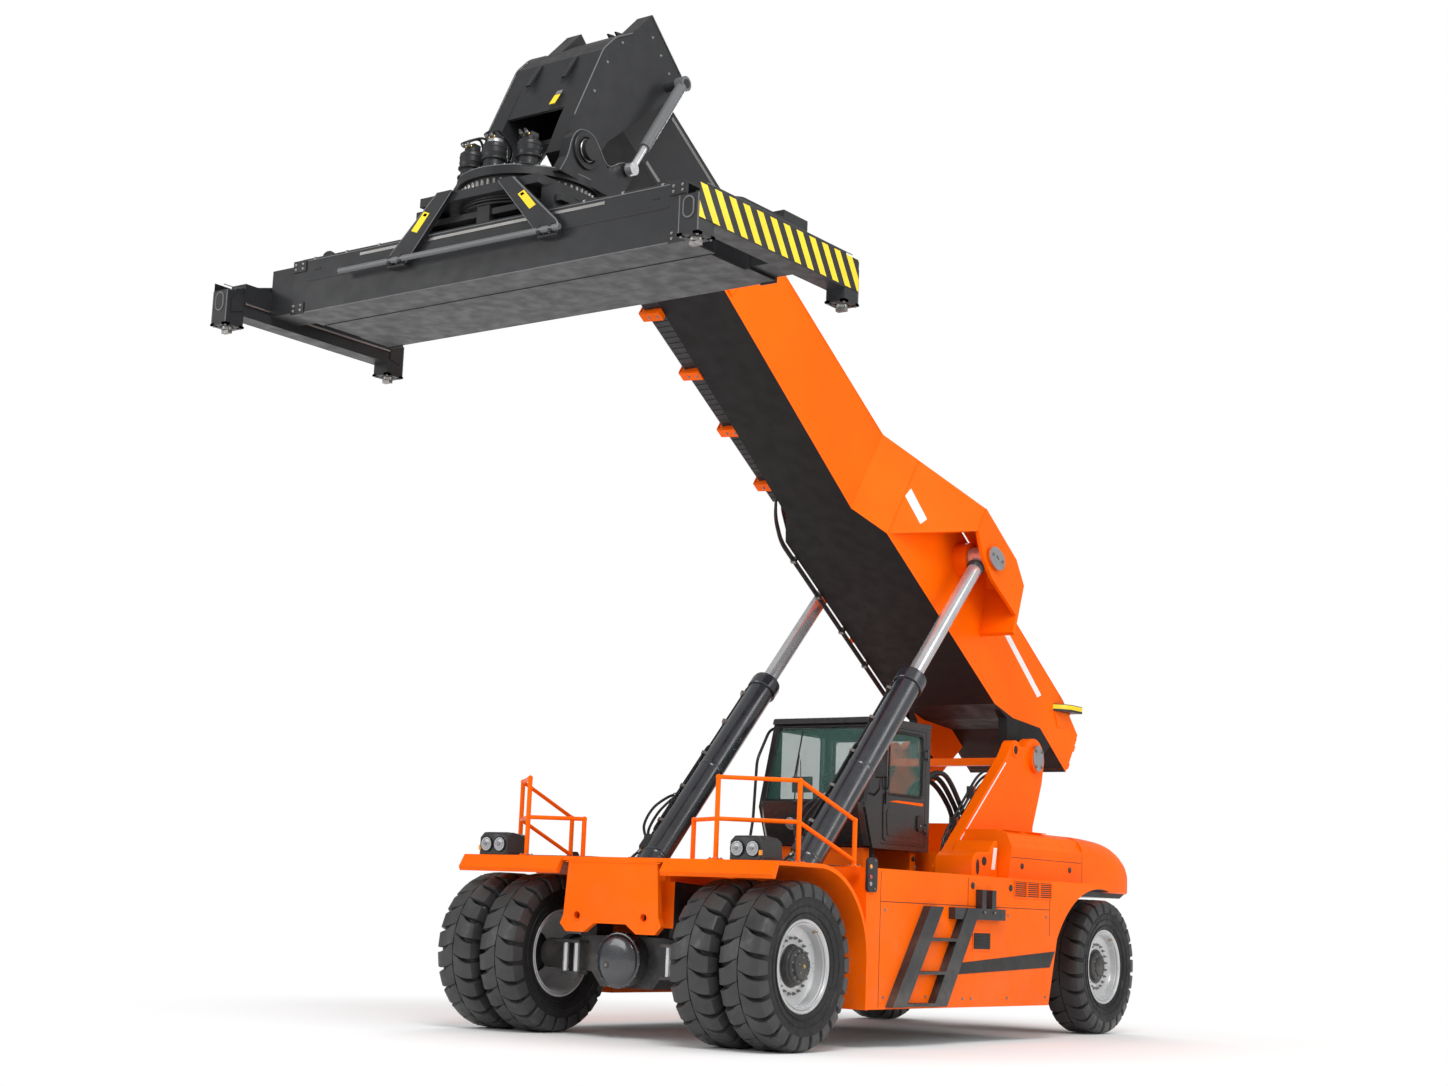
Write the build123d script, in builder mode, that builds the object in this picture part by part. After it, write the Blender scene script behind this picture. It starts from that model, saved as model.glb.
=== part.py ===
from build123d import *
import math
import os

os.makedirs("parts", exist_ok=True)

# Driving sizes, millimetres. X is the machine's left, the front faces -Y, the floor is Z = 0.
# y values called "run" are measured backwards from the front axle.
FRONT_AXLE_Y = -2400
WHEELBASE = 7000
TYRE_OD = 1600
TYRE_WIDTH = 500
RIM_RADIUS = 415
OUTER_DUAL_X = 1780
INNER_DUAL_X = 1205
REAR_WHEEL_X = 1480
KINGPIN_X = 1150
FRAME_HALF = 650
FRAME_TOP = 1550
DECK_TOP = 1770
DECK_HALF = 1980
SIDE_BOTTOM = 380
TAIL_RUN = 8260
HOOD_TOP = 2340
HOOD_HALF = 1560
TOWER_INNER = 780
TOWER_PLATE = 130
PIVOT_RUN = 6600
PIVOT_Z = 3270
BOOM_ANGLE = 33.0
BOOM_HALF = 450
BOOM_REAR_HALF = 700
BOOM_UNDER = 190
MOUTH_UNDER = 375
BOOM_TOP = 1370
BOOM_TAIL = -1080
BOOM_FRONT = 7800
BOOM_WALL = 22
INNER_HALF = 370
HEAD_HALF = 560
HEAD_PIN_U = 10210
HEAD_PIN_W = -530
INNER_FRONT = 9780
CHANNEL_LOW = 330
CHANNEL_ARMS = (4750, 5650, 6550, 7450)
LIFT_X = 1000
LIFT_BASE_RUN = 1260
LIFT_BASE_Z = 1600
LIFT_PIN_U = 2580
LIFT_PIN_W = 1060
LIFT_BARREL_R = 150
LIFT_ROD_R = 88
LIFT_BARREL_LENGTH = 3250
CAB_HALF = 720
CAB_FLOOR_Z = 2040
CAB_ROOF_Z = 3500
CAB_WALL = 50
GRIP_HALF_X = 2926.5
GRIP_HALF_Y = 1129.5
GRIP_UNDER = 6780
BEAM_LOW = 7020
BEAM_TOP = 7560
MAIN_BEAM_HALF = 2480
TELE_TRAVEL = 3047
ARM_TAIL = 1000
ARCH_R = 965
SHEET = 40
GAP = 5
TYRE_R = TYRE_OD / 2


def side(x=0):
    return Plane(origin=(x, FRONT_AXLE_Y, 0), x_dir=(0, 1, 0), z_dir=(1, 0, 0))


def across(run):
    return Plane(origin=(0, FRONT_AXLE_Y + run, 0), x_dir=(1, 0, 0), z_dir=(0, -1, 0))


ANGLE = math.radians(BOOM_ANGLE)
FORE = (0, -math.cos(ANGLE), math.sin(ANGLE))
OVER = (0, math.sin(ANGLE), math.cos(ANGLE))
PIVOT = (0, FRONT_AXLE_Y + PIVOT_RUN, PIVOT_Z)


def boom_point(u, w, x=0):
    y = PIVOT[1] + u * FORE[1] + w * OVER[1]
    z = PIVOT[2] + u * FORE[2] + w * OVER[2]
    return (x, y, z)


def boom_side(x=0):
    return Plane(origin=boom_point(0, 0, x), x_dir=FORE, z_dir=(-1, 0, 0))


def boom_plan(w=0):
    return Plane(origin=boom_point(0, w), x_dir=FORE, z_dir=OVER)


def outline(*points):
    Polygon(*points, align=None)


def block(x, run, z, dx, dy, dz, mode=Mode.ADD):
    with Locations((x, FRONT_AXLE_Y + run, z)):
        Box(dx, dy, dz, mode=mode)


def rod_x(x, run, z, radius, length, mode=Mode.ADD):
    with Locations(Location((x, FRONT_AXLE_Y + run, z), (0, 90, 0))):
        Cylinder(radius, length, mode=mode)


def boom_rod(u, w, x, radius, length, mode=Mode.ADD):
    with Locations(Location(boom_point(u, w, x), (0, 90, 0))):
        Cylinder(radius, length, mode=mode)


def bar(p, q, radius, mode=Mode.ADD):
    a, b = Vector(*p), Vector(*q)
    with Locations(Plane(origin=(a + b) / 2, z_dir=b - a).location):
        Cylinder(radius, (b - a).length, mode=mode)


def upright(x, y, low, high, radius, mode=Mode.ADD):
    with Locations((x, y, (low + high) / 2)):
        Cylinder(radius, high - low, mode=mode)


def save(piece, name):
    piece.label = name
    export_step(piece, "parts/" + name + ".step")


SIDES = (("left", 1), ("right", -1))
HEAD_PIN = boom_point(HEAD_PIN_U, HEAD_PIN_W)
SPREADER_Y = HEAD_PIN[1]

# Main frame: two box rails, cross members, front plate, front deck, cab mount, lift-cylinder feet.
with BuildPart() as frame:
    for s in (1, -1):
        with BuildSketch(side(s * (FRAME_HALF - 90))):
            outline((-300, 1100), (-300, FRAME_TOP), (7700, FRAME_TOP), (7700, 1180), (6500, 1180),
                    (6250, 700), (1000, 700), (650, 1100))
        extrude(amount=90, both=True)
        with BuildSketch(side(s * (FRAME_HALF - 90))):
            outline((-280, 1120), (-280, FRAME_TOP - 20), (7680, FRAME_TOP - 20), (7680, 1200), (6490, 1200),
                    (6235, 720), (1010, 720), (660, 1120))
        extrude(amount=70, both=True, mode=Mode.SUBTRACT)
    for run, low in ((820, 1160), (2300, 760), (3600, 760), (6150, 1240), (7500, 1240)):
        block(0, run, (low + FRAME_TOP - 60) / 2, 2 * FRAME_HALF - 360, 120, FRAME_TOP - 60 - low)
    with BuildSketch(across(-420)):
        outline((-640, 1110), (-600, 1190), (-560, DECK_TOP - 40), (560, DECK_TOP - 40), (600, 1190), (640, 1110),
                (560, 1030), (330, 1030), (200, 1120), (-200, 1120), (-330, 1030), (-560, 1030))
        for x in (-420, 420):
            with Locations((x, 1190)):
                Circle(38, mode=Mode.SUBTRACT)
    extrude(amount=60)
    for s in (1, -1):
        block(s * 520, -360, 1350, 40, 120, 400)
    block(0, 350, DECK_TOP - 20, 2 * FRAME_HALF, 1660, 40)
    for s in (1, -1):
        block(s * 560, 350, (FRAME_TOP + DECK_TOP - 40) / 2, 60, 1300, DECK_TOP - 40 - FRAME_TOP)
    for run in (3250, 4250):
        block(0, run, (FRAME_TOP + CAB_FLOOR_Z) / 2, 2 * FRAME_HALF - 100, 120, CAB_FLOOR_Z - FRAME_TOP)
    for s in (1, -1):
        block(s * 725, LIFT_BASE_RUN, 1320, 160, 460, 300)
        with BuildSketch(side(s * LIFT_X)):
            outline((LIFT_BASE_RUN - 240, 1170), (LIFT_BASE_RUN - 240, 1500), (LIFT_BASE_RUN - 120, 1720),
                    (LIFT_BASE_RUN + 120, 1720), (LIFT_BASE_RUN + 240, 1500), (LIFT_BASE_RUN + 240, 1170))
        extrude(amount=210, both=True)
        block(s * LIFT_X, LIFT_BASE_RUN, 1650, 330, 900, 460, mode=Mode.SUBTRACT)
        rod_x(s * LIFT_X, LIFT_BASE_RUN, LIFT_BASE_Z, 60, 420)
save(frame.part, "main_frame")

with BuildPart() as drive:
    with BuildSketch(across(-170)):
        outline((-820, 660), (-450, 640), (-330, 500), (330, 500), (450, 640), (820, 660),
                (820, 940), (450, 1000), (-450, 1000), (-820, 940))
    extrude(amount=-340)
    with Locations(Location((0, FRONT_AXLE_Y - 220, 770), (90, 0, 0))):
        Cylinder(265, 140)
        Cylinder(225, 220)
        Cylinder(60, 250)
    for s in (1, -1):
        rod_x(s * 900, 0, TYRE_R, 150, 500)
        rod_x(s * 850, 0, TYRE_R, 200, 80)
        block(s * (FRAME_HALF - 90), 20, 1040, 200, 260, 120)
        for z in (620, 930):
            block(s * 660, -240, z, 300, 150, 30)
        for x in (580, 720):
            upright(s * x, FRONT_AXLE_Y - 260, 630, 920, 28)
save(drive.part, "drive_axle")

with BuildPart() as steer:
    with BuildSketch(across(WHEELBASE - 150)):
        outline((-1040, 640), (-700, 600), (700, 600), (1040, 640), (1040, 960), (700, 980), (300, 1080),
                (-300, 1080), (-700, 980), (-1040, 960))
    extrude(amount=-300)
    rod_x(0, WHEELBASE + 230, 860, 75, 900)
    for s in (1, -1):
        block(s * 400, WHEELBASE + 190, 860, 60, 120, 200)
        block(s * 970, WHEELBASE, TYRE_R, 140, 260, 560)
        for z in (TYRE_R + 240, TYRE_R - 240):
            upright(s * KINGPIN_X, FRONT_AXLE_Y + WHEELBASE, z - 40, z + 40, 120)
            block(s * 1060, WHEELBASE, z, 180, 240, 80)
        upright(s * KINGPIN_X, FRONT_AXLE_Y + WHEELBASE, TYRE_R - 240, TYRE_R + 240, 50)
        block(s * (FRAME_HALF - 90), WHEELBASE, 1120, 160, 240, 120)
    block(0, WHEELBASE, 1090, 2 * (FRAME_HALF - 90), 200, 60)
save(steer.part, "steer_axle")

for label, s in SIDES:
    with BuildPart() as knuckle:
        upright(s * KINGPIN_X, FRONT_AXLE_Y + WHEELBASE, TYRE_R - 195, TYRE_R + 195, 100)
        rod_x(s * 1290, WHEELBASE, TYRE_R, 95, 200)
        rod_x(s * 1380, WHEELBASE, TYRE_R, 170, 40)
        upright(s * KINGPIN_X, FRONT_AXLE_Y + WHEELBASE, TYRE_R - 200, TYRE_R + 200, 50.05, mode=Mode.SUBTRACT)
    save(knuckle.part, "steer_knuckle_" + label)

def wheel_plane(x, run):
    return Plane(origin=(x, FRONT_AXLE_Y + run, TYRE_R), x_dir=(1, 0, 0), z_dir=(0, -1, 0))


def wheel_axis(run):
    return Axis((0, FRONT_AXLE_Y + run, TYRE_R), (1, 0, 0))


def tyre_section():
    h = TYRE_WIDTH / 2
    outline((-h + 60, RIM_RADIUS), (-h, 540), (-h, 670), (-h + 45, 770), (-h + 80, TYRE_R),
            (h - 80, TYRE_R), (h - 45, 770), (h, 670), (h, 540), (h - 60, RIM_RADIUS))


def rim_section(disc):
    h = TYRE_WIDTH / 2 - 60
    low, high = min(disc, disc + 30), max(disc, disc + 30)
    outline((-h, RIM_RADIUS), (h, RIM_RADIUS), (h, RIM_RADIUS - 35), (high, RIM_RADIUS - 35),
            (high, 150), (low, 150), (low, RIM_RADIUS - 35), (-h, RIM_RADIUS - 35))


for label, s in SIDES:
    with BuildPart() as tyres:
        for x in (OUTER_DUAL_X, INNER_DUAL_X):
            with BuildSketch(wheel_plane(s * x, 0)):
                tyre_section()
            revolve(axis=wheel_axis(0))
    save(tyres.part, "front_tyres_" + label)
    with BuildPart() as rims:
        for x, disc in ((OUTER_DUAL_X, 40), (INNER_DUAL_X, 120)):
            with BuildSketch(wheel_plane(s * x, 0)):
                rim_section(disc if s > 0 else -disc - 30)
            revolve(axis=wheel_axis(0))
        rod_x(s * 1610, 0, TYRE_R, 180, 680)
        rod_x(s * 1970, 0, TYRE_R, 120, 60)
        rod_x(s * 1200, 0, TYRE_R, 156, 280, mode=Mode.SUBTRACT)
    save(rims.part, "front_rims_" + label)
    with BuildPart() as tyre:
        with BuildSketch(wheel_plane(s * REAR_WHEEL_X, WHEELBASE)):
            tyre_section()
        revolve(axis=wheel_axis(WHEELBASE))
    save(tyre.part, "rear_tyre_" + label)
    with BuildPart() as rim:
        with BuildSketch(wheel_plane(s * REAR_WHEEL_X, WHEELBASE)):
            rim_section(60 if s > 0 else -90)
        revolve(axis=wheel_axis(WHEELBASE))
        rod_x(s * 1515, WHEELBASE, TYRE_R, 176, 210)
    save(rim.part, "rear_rim_" + label)

def arch(degrees):
    a = math.radians(degrees)
    return (WHEELBASE + ARCH_R * math.cos(a), TYRE_R + ARCH_R * math.sin(a))


ARCH_TOP = DECK_TOP - SHEET
ARCH_LOW = 180 + math.degrees(math.asin((TYRE_R - SIDE_BOTTOM) / ARCH_R))
ARCH_HIGH = 180 - math.degrees(math.asin((DECK_TOP - 80 - TYRE_R) / ARCH_R))

for label, s in SIDES:
    with BuildPart() as fender:
        with BuildSketch(side(s * (DECK_HALF + FRAME_HALF) / 2)):
            with BuildLine():
                Polyline((-510, 1600), (-540, 1600), (-560, 1640), (-480, DECK_TOP), (240, DECK_TOP))
                ThreePointArc((240, DECK_TOP), (890, 1500), (1160, 850))
                Polyline((1160, 850), (1160, SIDE_BOTTOM), (1160 - SHEET, SIDE_BOTTOM), (1160 - SHEET, 840))
                ThreePointArc((1160 - SHEET, 840), (862, 1470), (235, ARCH_TOP))
                Polyline((235, ARCH_TOP), (-455, ARCH_TOP), (-510, 1600))
            make_face()
        extrude(amount=(DECK_HALF - FRAME_HALF) / 2, both=True)
        block(s * 921, 1160, 1000, 604, 680, 1800, mode=Mode.SUBTRACT)
    save(fender.part, "fender_" + label)

TANK_OUT = 1930
TANK_IN = 1225
TANK_REAR = 5080
for label, s in SIDES:
    with BuildPart() as tank:
        with BuildSketch(side(s * (TANK_OUT + TANK_IN) / 2)):
            with BuildLine():
                Polyline(arch(ARCH_HIGH), (arch(ARCH_HIGH)[0], DECK_TOP), (1165, DECK_TOP), (1165, SIDE_BOTTOM),
                         (TANK_REAR, SIDE_BOTTOM), (TANK_REAR + 200, 1120))
                ThreePointArc((TANK_REAR + 200, 1120), (TANK_REAR + 640, 1540), arch(ARCH_HIGH))
            make_face()
        extrude(amount=(TANK_OUT - TANK_IN) / 2, both=True)
        block(s * (TANK_IN + FRAME_HALF) / 2, 3900, 900, TANK_IN - FRAME_HALF, 3000, 300)
        block(s * (TANK_IN + FRAME_HALF) / 2, 3090, DECK_TOP - 20, TANK_IN - FRAME_HALF, 2540, 40)
    save(tank.part, "side_tank_" + label)

with BuildPart() as ladder:
    for foot, top in ((1570, 2280), (2380, 3060)):
        with BuildSketch(side(TANK_OUT + 45)):
            outline((foot, SIDE_BOTTOM + 20), (foot + 270, SIDE_BOTTOM + 20), (top + 270, 1420), (top, 1420))
        extrude(amount=45, both=True)
    for z in (SIDE_BOTTOM + 40, 740, 1080):
        block(TANK_OUT + 45, 2110 + (z - SIDE_BOTTOM) * 0.7, z, 90, 720, 30)
    block(TANK_OUT + 40, 3350, 1360, 80, 1100, 120)
    for run in (3420, 3640):
        block(TANK_OUT + 40, run, 1500, 80, 90, 240)
save(ladder.part, "access_ladder")

HOOD_IN = TOWER_INNER + TOWER_PLATE + GAP
HOOD_FRONT = 4780
HOOD_SPLIT = arch(ARCH_HIGH)[0]
with BuildPart() as hood:
    for s in (1, -1):
        with BuildSketch(across(HOOD_FRONT)):
            outline((s * HOOD_IN, DECK_TOP), (s * HOOD_IN, HOOD_TOP), (s * (HOOD_HALF - 230), HOOD_TOP),
                    (s * (HOOD_HALF - 90), HOOD_TOP - 45), (s * HOOD_HALF, HOOD_TOP - 200), (s * HOOD_HALF, DECK_TOP))
        extrude(amount=HOOD_FRONT - HOOD_SPLIT)
        with BuildSketch(side(s * 1500)):
            outline((HOOD_FRONT - 10, DECK_TOP - 10), (HOOD_FRONT + 120, HOOD_TOP + 10), (HOOD_FRONT - 10, HOOD_TOP + 10))
        extrude(amount=800, both=True, mode=Mode.SUBTRACT)
        block(s * (HOOD_HALF + HOOD_IN) / 2, (HOOD_FRONT + HOOD_SPLIT) / 2 + 60, DECK_TOP + 210,
              HOOD_HALF - HOOD_IN - 2 * SHEET, HOOD_SPLIT - HOOD_FRONT - 240, 460, mode=Mode.SUBTRACT)
    block(0, 5560, 1880, 2 * TOWER_INNER - 20, 1900, 360)
    block(0, 5560, 1840, 2 * TOWER_INNER - 100, 1820, 360, mode=Mode.SUBTRACT)
save(hood.part, "engine_hood")

with BuildPart() as weight:
    with BuildSketch(side(0)):
        with BuildLine():
            Polyline((HOOD_SPLIT, HOOD_TOP), (HOOD_SPLIT, DECK_TOP - 80))
            ThreePointArc((HOOD_SPLIT, DECK_TOP - 80), arch(90), (2 * WHEELBASE - HOOD_SPLIT, DECK_TOP - 80))
            Polyline((2 * WHEELBASE - HOOD_SPLIT, DECK_TOP - 80), (8080, DECK_TOP - 80), (TAIL_RUN, 1850), (TAIL_RUN, 1960))
            ThreePointArc((TAIL_RUN, 1960), (8060, 2180), (7600, HOOD_TOP - 20))
            Polyline((7600, HOOD_TOP - 20), (HOOD_SPLIT, HOOD_TOP))
        make_face()
    extrude(amount=HOOD_HALF, both=True)
    with BuildSketch(across(6000)):
        outline((-HOOD_HALF, 1000), (-HOOD_HALF, HOOD_TOP - 200), (90 - HOOD_HALF, HOOD_TOP - 45),
                (230 - HOOD_HALF, HOOD_TOP), (HOOD_HALF - 230, HOOD_TOP), (HOOD_HALF - 90, HOOD_TOP - 45),
                (HOOD_HALF, HOOD_TOP - 200), (HOOD_HALF, 1000))
    extrude(amount=-3000, mode=Mode.INTERSECT)
    with BuildSketch(Plane(origin=(0, FRONT_AXLE_Y, 0))):
        with BuildLine():
            Polyline((-HOOD_HALF, 7700), (-HOOD_HALF, 6000), (HOOD_HALF, 6000), (HOOD_HALF, 7700))
            ThreePointArc((HOOD_HALF, 7700), (1500, 8090), (1050, TAIL_RUN))
            Line((1050, TAIL_RUN), (-1050, TAIL_RUN))
            ThreePointArc((-1050, TAIL_RUN), (-1500, 8090), (-HOOD_HALF, 7700))
        make_face()
    extrude(amount=4000, mode=Mode.INTERSECT)
    block(0, 7860, 1370, 1440, 320, 660)
    block(0, 6900, 2050, 2 * HOOD_IN, 560, 620, mode=Mode.SUBTRACT)
    block(0, 7160, 1650, 2 * FRAME_HALF, 1080, 300, mode=Mode.SUBTRACT)
    block(0, 7190, 1610, 1200, 900, 120)
save(weight.part, "counterweight")

with BuildPart() as engine:
    block(0, 5400, 1480, 860, 1200, 880)
    block(0, 4350, 1250, 860, 900, 360)
save(engine.part, "engine_block")

with BuildPart() as tower:
    for s in (1, -1):
        with BuildSketch(side(s * (TOWER_INNER + TOWER_PLATE / 2))):
            with BuildLine():
                Polyline((6560, FRAME_TOP + 10), (4380, FRAME_TOP + 10), (4380, 1880), (5880, 3270), (5980, 3400))
                ThreePointArc((5980, 3400), (6100, 3480), (6220, 3410))
                Polyline((6220, 3410), (PIVOT_RUN - 240, PIVOT_Z + 150))
                ThreePointArc((PIVOT_RUN - 240, PIVOT_Z + 150), (PIVOT_RUN + 60, PIVOT_Z + 260), (PIVOT_RUN + 260, PIVOT_Z))
                Polyline((PIVOT_RUN + 260, PIVOT_Z), (6800, 2990), (6580, 2450), (6560, FRAME_TOP + 10))
            make_face()
        extrude(amount=TOWER_PLATE / 2, both=True)
        rod_x(s * (TOWER_INNER + TOWER_PLATE / 2), 6100, 3360, 45, 200, mode=Mode.SUBTRACT)
        rod_x(s * (TOWER_INNER - 20), PIVOT_RUN, PIVOT_Z, 90, 180)
        rod_x(s * (TOWER_INNER + TOWER_PLATE + 25), PIVOT_RUN, PIVOT_Z, 150, 50)
        block(s * (TOWER_INNER / 2 + 235), 5450, FRAME_TOP + 75, TOWER_INNER - 470, 2100, 150)
    block(0, 5980, 3210, 2 * TOWER_INNER, 110, 90)
    block(0, 6600, 2300, 2 * TOWER_INNER, 60, 380)
save(tower.part, "boom_tower")

# Cab: hollow shell with window openings, panes, door and fittings.
SCREEN = Plane(origin=(0, FRONT_AXLE_Y + 3155, 2980), x_dir=(1, 0, 0), z_dir=(0, -0.96547, 0.26068))
with BuildPart() as cab:
    with BuildSketch(side(0)):
        outline((3190, CAB_FLOOR_Z), (3020, 2480), (3290, CAB_ROOF_Z - 20), (4400, CAB_ROOF_Z),
                (4400, CAB_FLOOR_Z))
    extrude(amount=CAB_HALF, both=True)
    with BuildSketch(side(0)):
        outline((3235, CAB_FLOOR_Z + 50), (3075, 2480), (3332, CAB_ROOF_Z - 70), (4350, CAB_ROOF_Z - 50),
                (4350, CAB_FLOOR_Z + 50))
    extrude(amount=CAB_HALF - CAB_WALL, both=True, mode=Mode.SUBTRACT)
    with BuildSketch(SCREEN.offset(60)):
        Rectangle(1290, 880)
    extrude(amount=-160, mode=Mode.SUBTRACT)
    block(-CAB_HALF, 3830, 2980, 200, 900, 800, mode=Mode.SUBTRACT)
    block(0, 4400, 2950, 1200, 200, 780, mode=Mode.SUBTRACT)
    block(0, 3750, CAB_ROOF_Z, 1000, 500, 200, mode=Mode.SUBTRACT)
    block(CAB_HALF, 3832, 2755, 200, 945, 1320, mode=Mode.SUBTRACT)
save(cab.part, "cab_shell")

with BuildPart() as glass:
    with BuildSketch(SCREEN.offset(-20)):
        Rectangle(1290, 880)
    extrude(amount=-8)
    block(25 - CAB_HALF, 3830, 2980, 8, 900, 800)
    block(0, 4375, 2950, 1200, 8, 780)
    block(0, 3750, CAB_ROOF_Z - 35, 1000, 500, 8)
save(glass.part, "cab_glass")

with BuildPart() as door:
    block(CAB_HALF - 25, 3832, 2755, 46, 935, 1310)
    block(CAB_HALF - 25, 3832, 3010, 100, 790, 700, mode=Mode.SUBTRACT)
    block(CAB_HALF + 12, 3430, 2600, 26, 30, 120)
    for z in (2300, 3150):
        block(CAB_HALF + 10, 4262, z, 44, 60, 70)
        upright(CAB_HALF + 25, FRONT_AXLE_Y + 4300, z - 60, z + 60, 16)
save(door.part, "cab_door")

with BuildPart() as door_glass:
    block(CAB_HALF - 25, 3832, 3010, 8, 790, 700)
save(door_glass.part, "door_glass")

with BuildPart() as seat:
    block(0, 3980, 2200, 320, 320, 220)
    block(0, 3960, 2390, 500, 500, 160)
    with BuildSketch(side(0)):
        outline((4180, 2420), (4240, 3040), (4320, 3040), (4290, 2380))
    extrude(amount=240, both=True)
    block(0, 4272, 3120, 280, 90, 170)
    for s in (1, -1):
        block(s * 290, 3980, 2600, 70, 340, 60)
        block(s * 262, 4120, 2500, 26, 60, 160)
save(seat.part, "driver_seat")

with BuildPart() as console:
    block(0, 3330, 2240, 700, 160, 300)
    bar((0, FRONT_AXLE_Y + 3400, 2300), (0, FRONT_AXLE_Y + 3560, 2745), 38)
    with Locations(Plane(origin=(0, FRONT_AXLE_Y + 3570, 2770), x_dir=(1, 0, 0), z_dir=(0, 0.5, 0.866)).location):
        Torus(190, 16)
        Box(370, 26, 14)
        Cylinder(45, 30)
    block(-470, 3900, 2280, 180, 560, 380)
save(console.part, "control_console")

RAIL_R = 21
KNOB_R = RAIL_R + 6
POST_R = RAIL_R + 3
RAIL_TOP = 2560
with BuildPart() as rails:
    for s in (1, -1):
        path = ((1200, -400, RAIL_TOP), (1780, 150, RAIL_TOP), (1840, 1060, RAIL_TOP - 330))
        for drop in (0, 400):
            for (x0, r0, z0), (x1, r1, z1) in zip(path, path[1:]):
                bar((s * x0, FRONT_AXLE_Y + r0, z0 - drop), (s * x1, FRONT_AXLE_Y + r1, z1 - drop), RAIL_R)
        for x, run, z in path:
            upright(s * x, FRONT_AXLE_Y + run, DECK_TOP, z, POST_R)
            for drop in (0, 400):
                with Locations((s * x, FRONT_AXLE_Y + run, z - drop)):
                    Sphere(KNOB_R)
        bar((s * 1200, FRONT_AXLE_Y - 400, 2160), (s * 700, FRONT_AXLE_Y - 100, 2160), RAIL_R)
        upright(s * 700, FRONT_AXLE_Y - 100, DECK_TOP, 2160, POST_R)
        with Locations((s * 700, FRONT_AXLE_Y - 100, 2160)):
            Sphere(KNOB_R)
save(rails.part, "handrails")

with BuildPart() as lamps:
    for s in (1, -1):
        with BuildSketch(side(s * 1600)):
            outline((-460, DECK_TOP), (-440, DECK_TOP + 190), (-380, DECK_TOP + 230), (-160, DECK_TOP + 190),
                    (-120, DECK_TOP))
        extrude(amount=190, both=True)
        for x in (-95, 85):
            with Locations(Location((s * 1600 + x, FRONT_AXLE_Y - 450, DECK_TOP + 110), (90, 0, 0))):
                Cylinder(68, 60)
save(lamps.part, "headlamps")

# Outer boom: side outline crossed with a flared plan, hollow, with rod-eye cheeks and channel arms.
FLARE_AFT = 4000
FLARE_FORE = 4450
EYE_CLEAR = 1400
with BuildPart() as bore:
    with BuildSketch(boom_side()):
        outline((BOOM_TAIL + 60, BOOM_UNDER + BOOM_WALL), (FLARE_FORE, BOOM_UNDER + BOOM_WALL),
                (BOOM_FRONT, MOUTH_UNDER + BOOM_WALL), (BOOM_FRONT + 50, MOUTH_UNDER + BOOM_WALL),
                (BOOM_FRONT + 50, BOOM_TOP - BOOM_WALL), (BOOM_TAIL + 60, BOOM_TOP - BOOM_WALL))
    extrude(amount=BOOM_REAR_HALF, both=True)
    with BuildSketch(boom_plan(0)):
        outline((BOOM_TAIL + 60, BOOM_WALL - BOOM_REAR_HALF), (FLARE_AFT, BOOM_WALL - BOOM_REAR_HALF),
                (FLARE_FORE, BOOM_WALL - BOOM_HALF), (BOOM_FRONT + 50, BOOM_WALL - BOOM_HALF),
                (BOOM_FRONT + 50, BOOM_HALF - BOOM_WALL), (FLARE_FORE, BOOM_HALF - BOOM_WALL),
                (FLARE_AFT, BOOM_REAR_HALF - BOOM_WALL), (BOOM_TAIL + 60, BOOM_REAR_HALF - BOOM_WALL))
    extrude(amount=2500, mode=Mode.INTERSECT)

INNER_LOW = MOUTH_UNDER + 80
INNER_HIGH = BOOM_TOP - 80
with BuildPart() as shoulder:
    with BuildSketch(boom_side()):
        outline((3020, EYE_CLEAR + 25), (3020, 1080), (FLARE_AFT, BOOM_UNDER), (FLARE_FORE, BOOM_UNDER),
                (FLARE_FORE, BOOM_TOP))
    extrude(amount=1200, both=True)
    with BuildSketch(boom_plan(0)):
        for s in (1, -1):
            outline((3020, s * 640), (3020, s * 1164), (FLARE_FORE, s * BOOM_HALF), (FLARE_AFT, s * 640))
    extrude(amount=2500, mode=Mode.INTERSECT)

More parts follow.
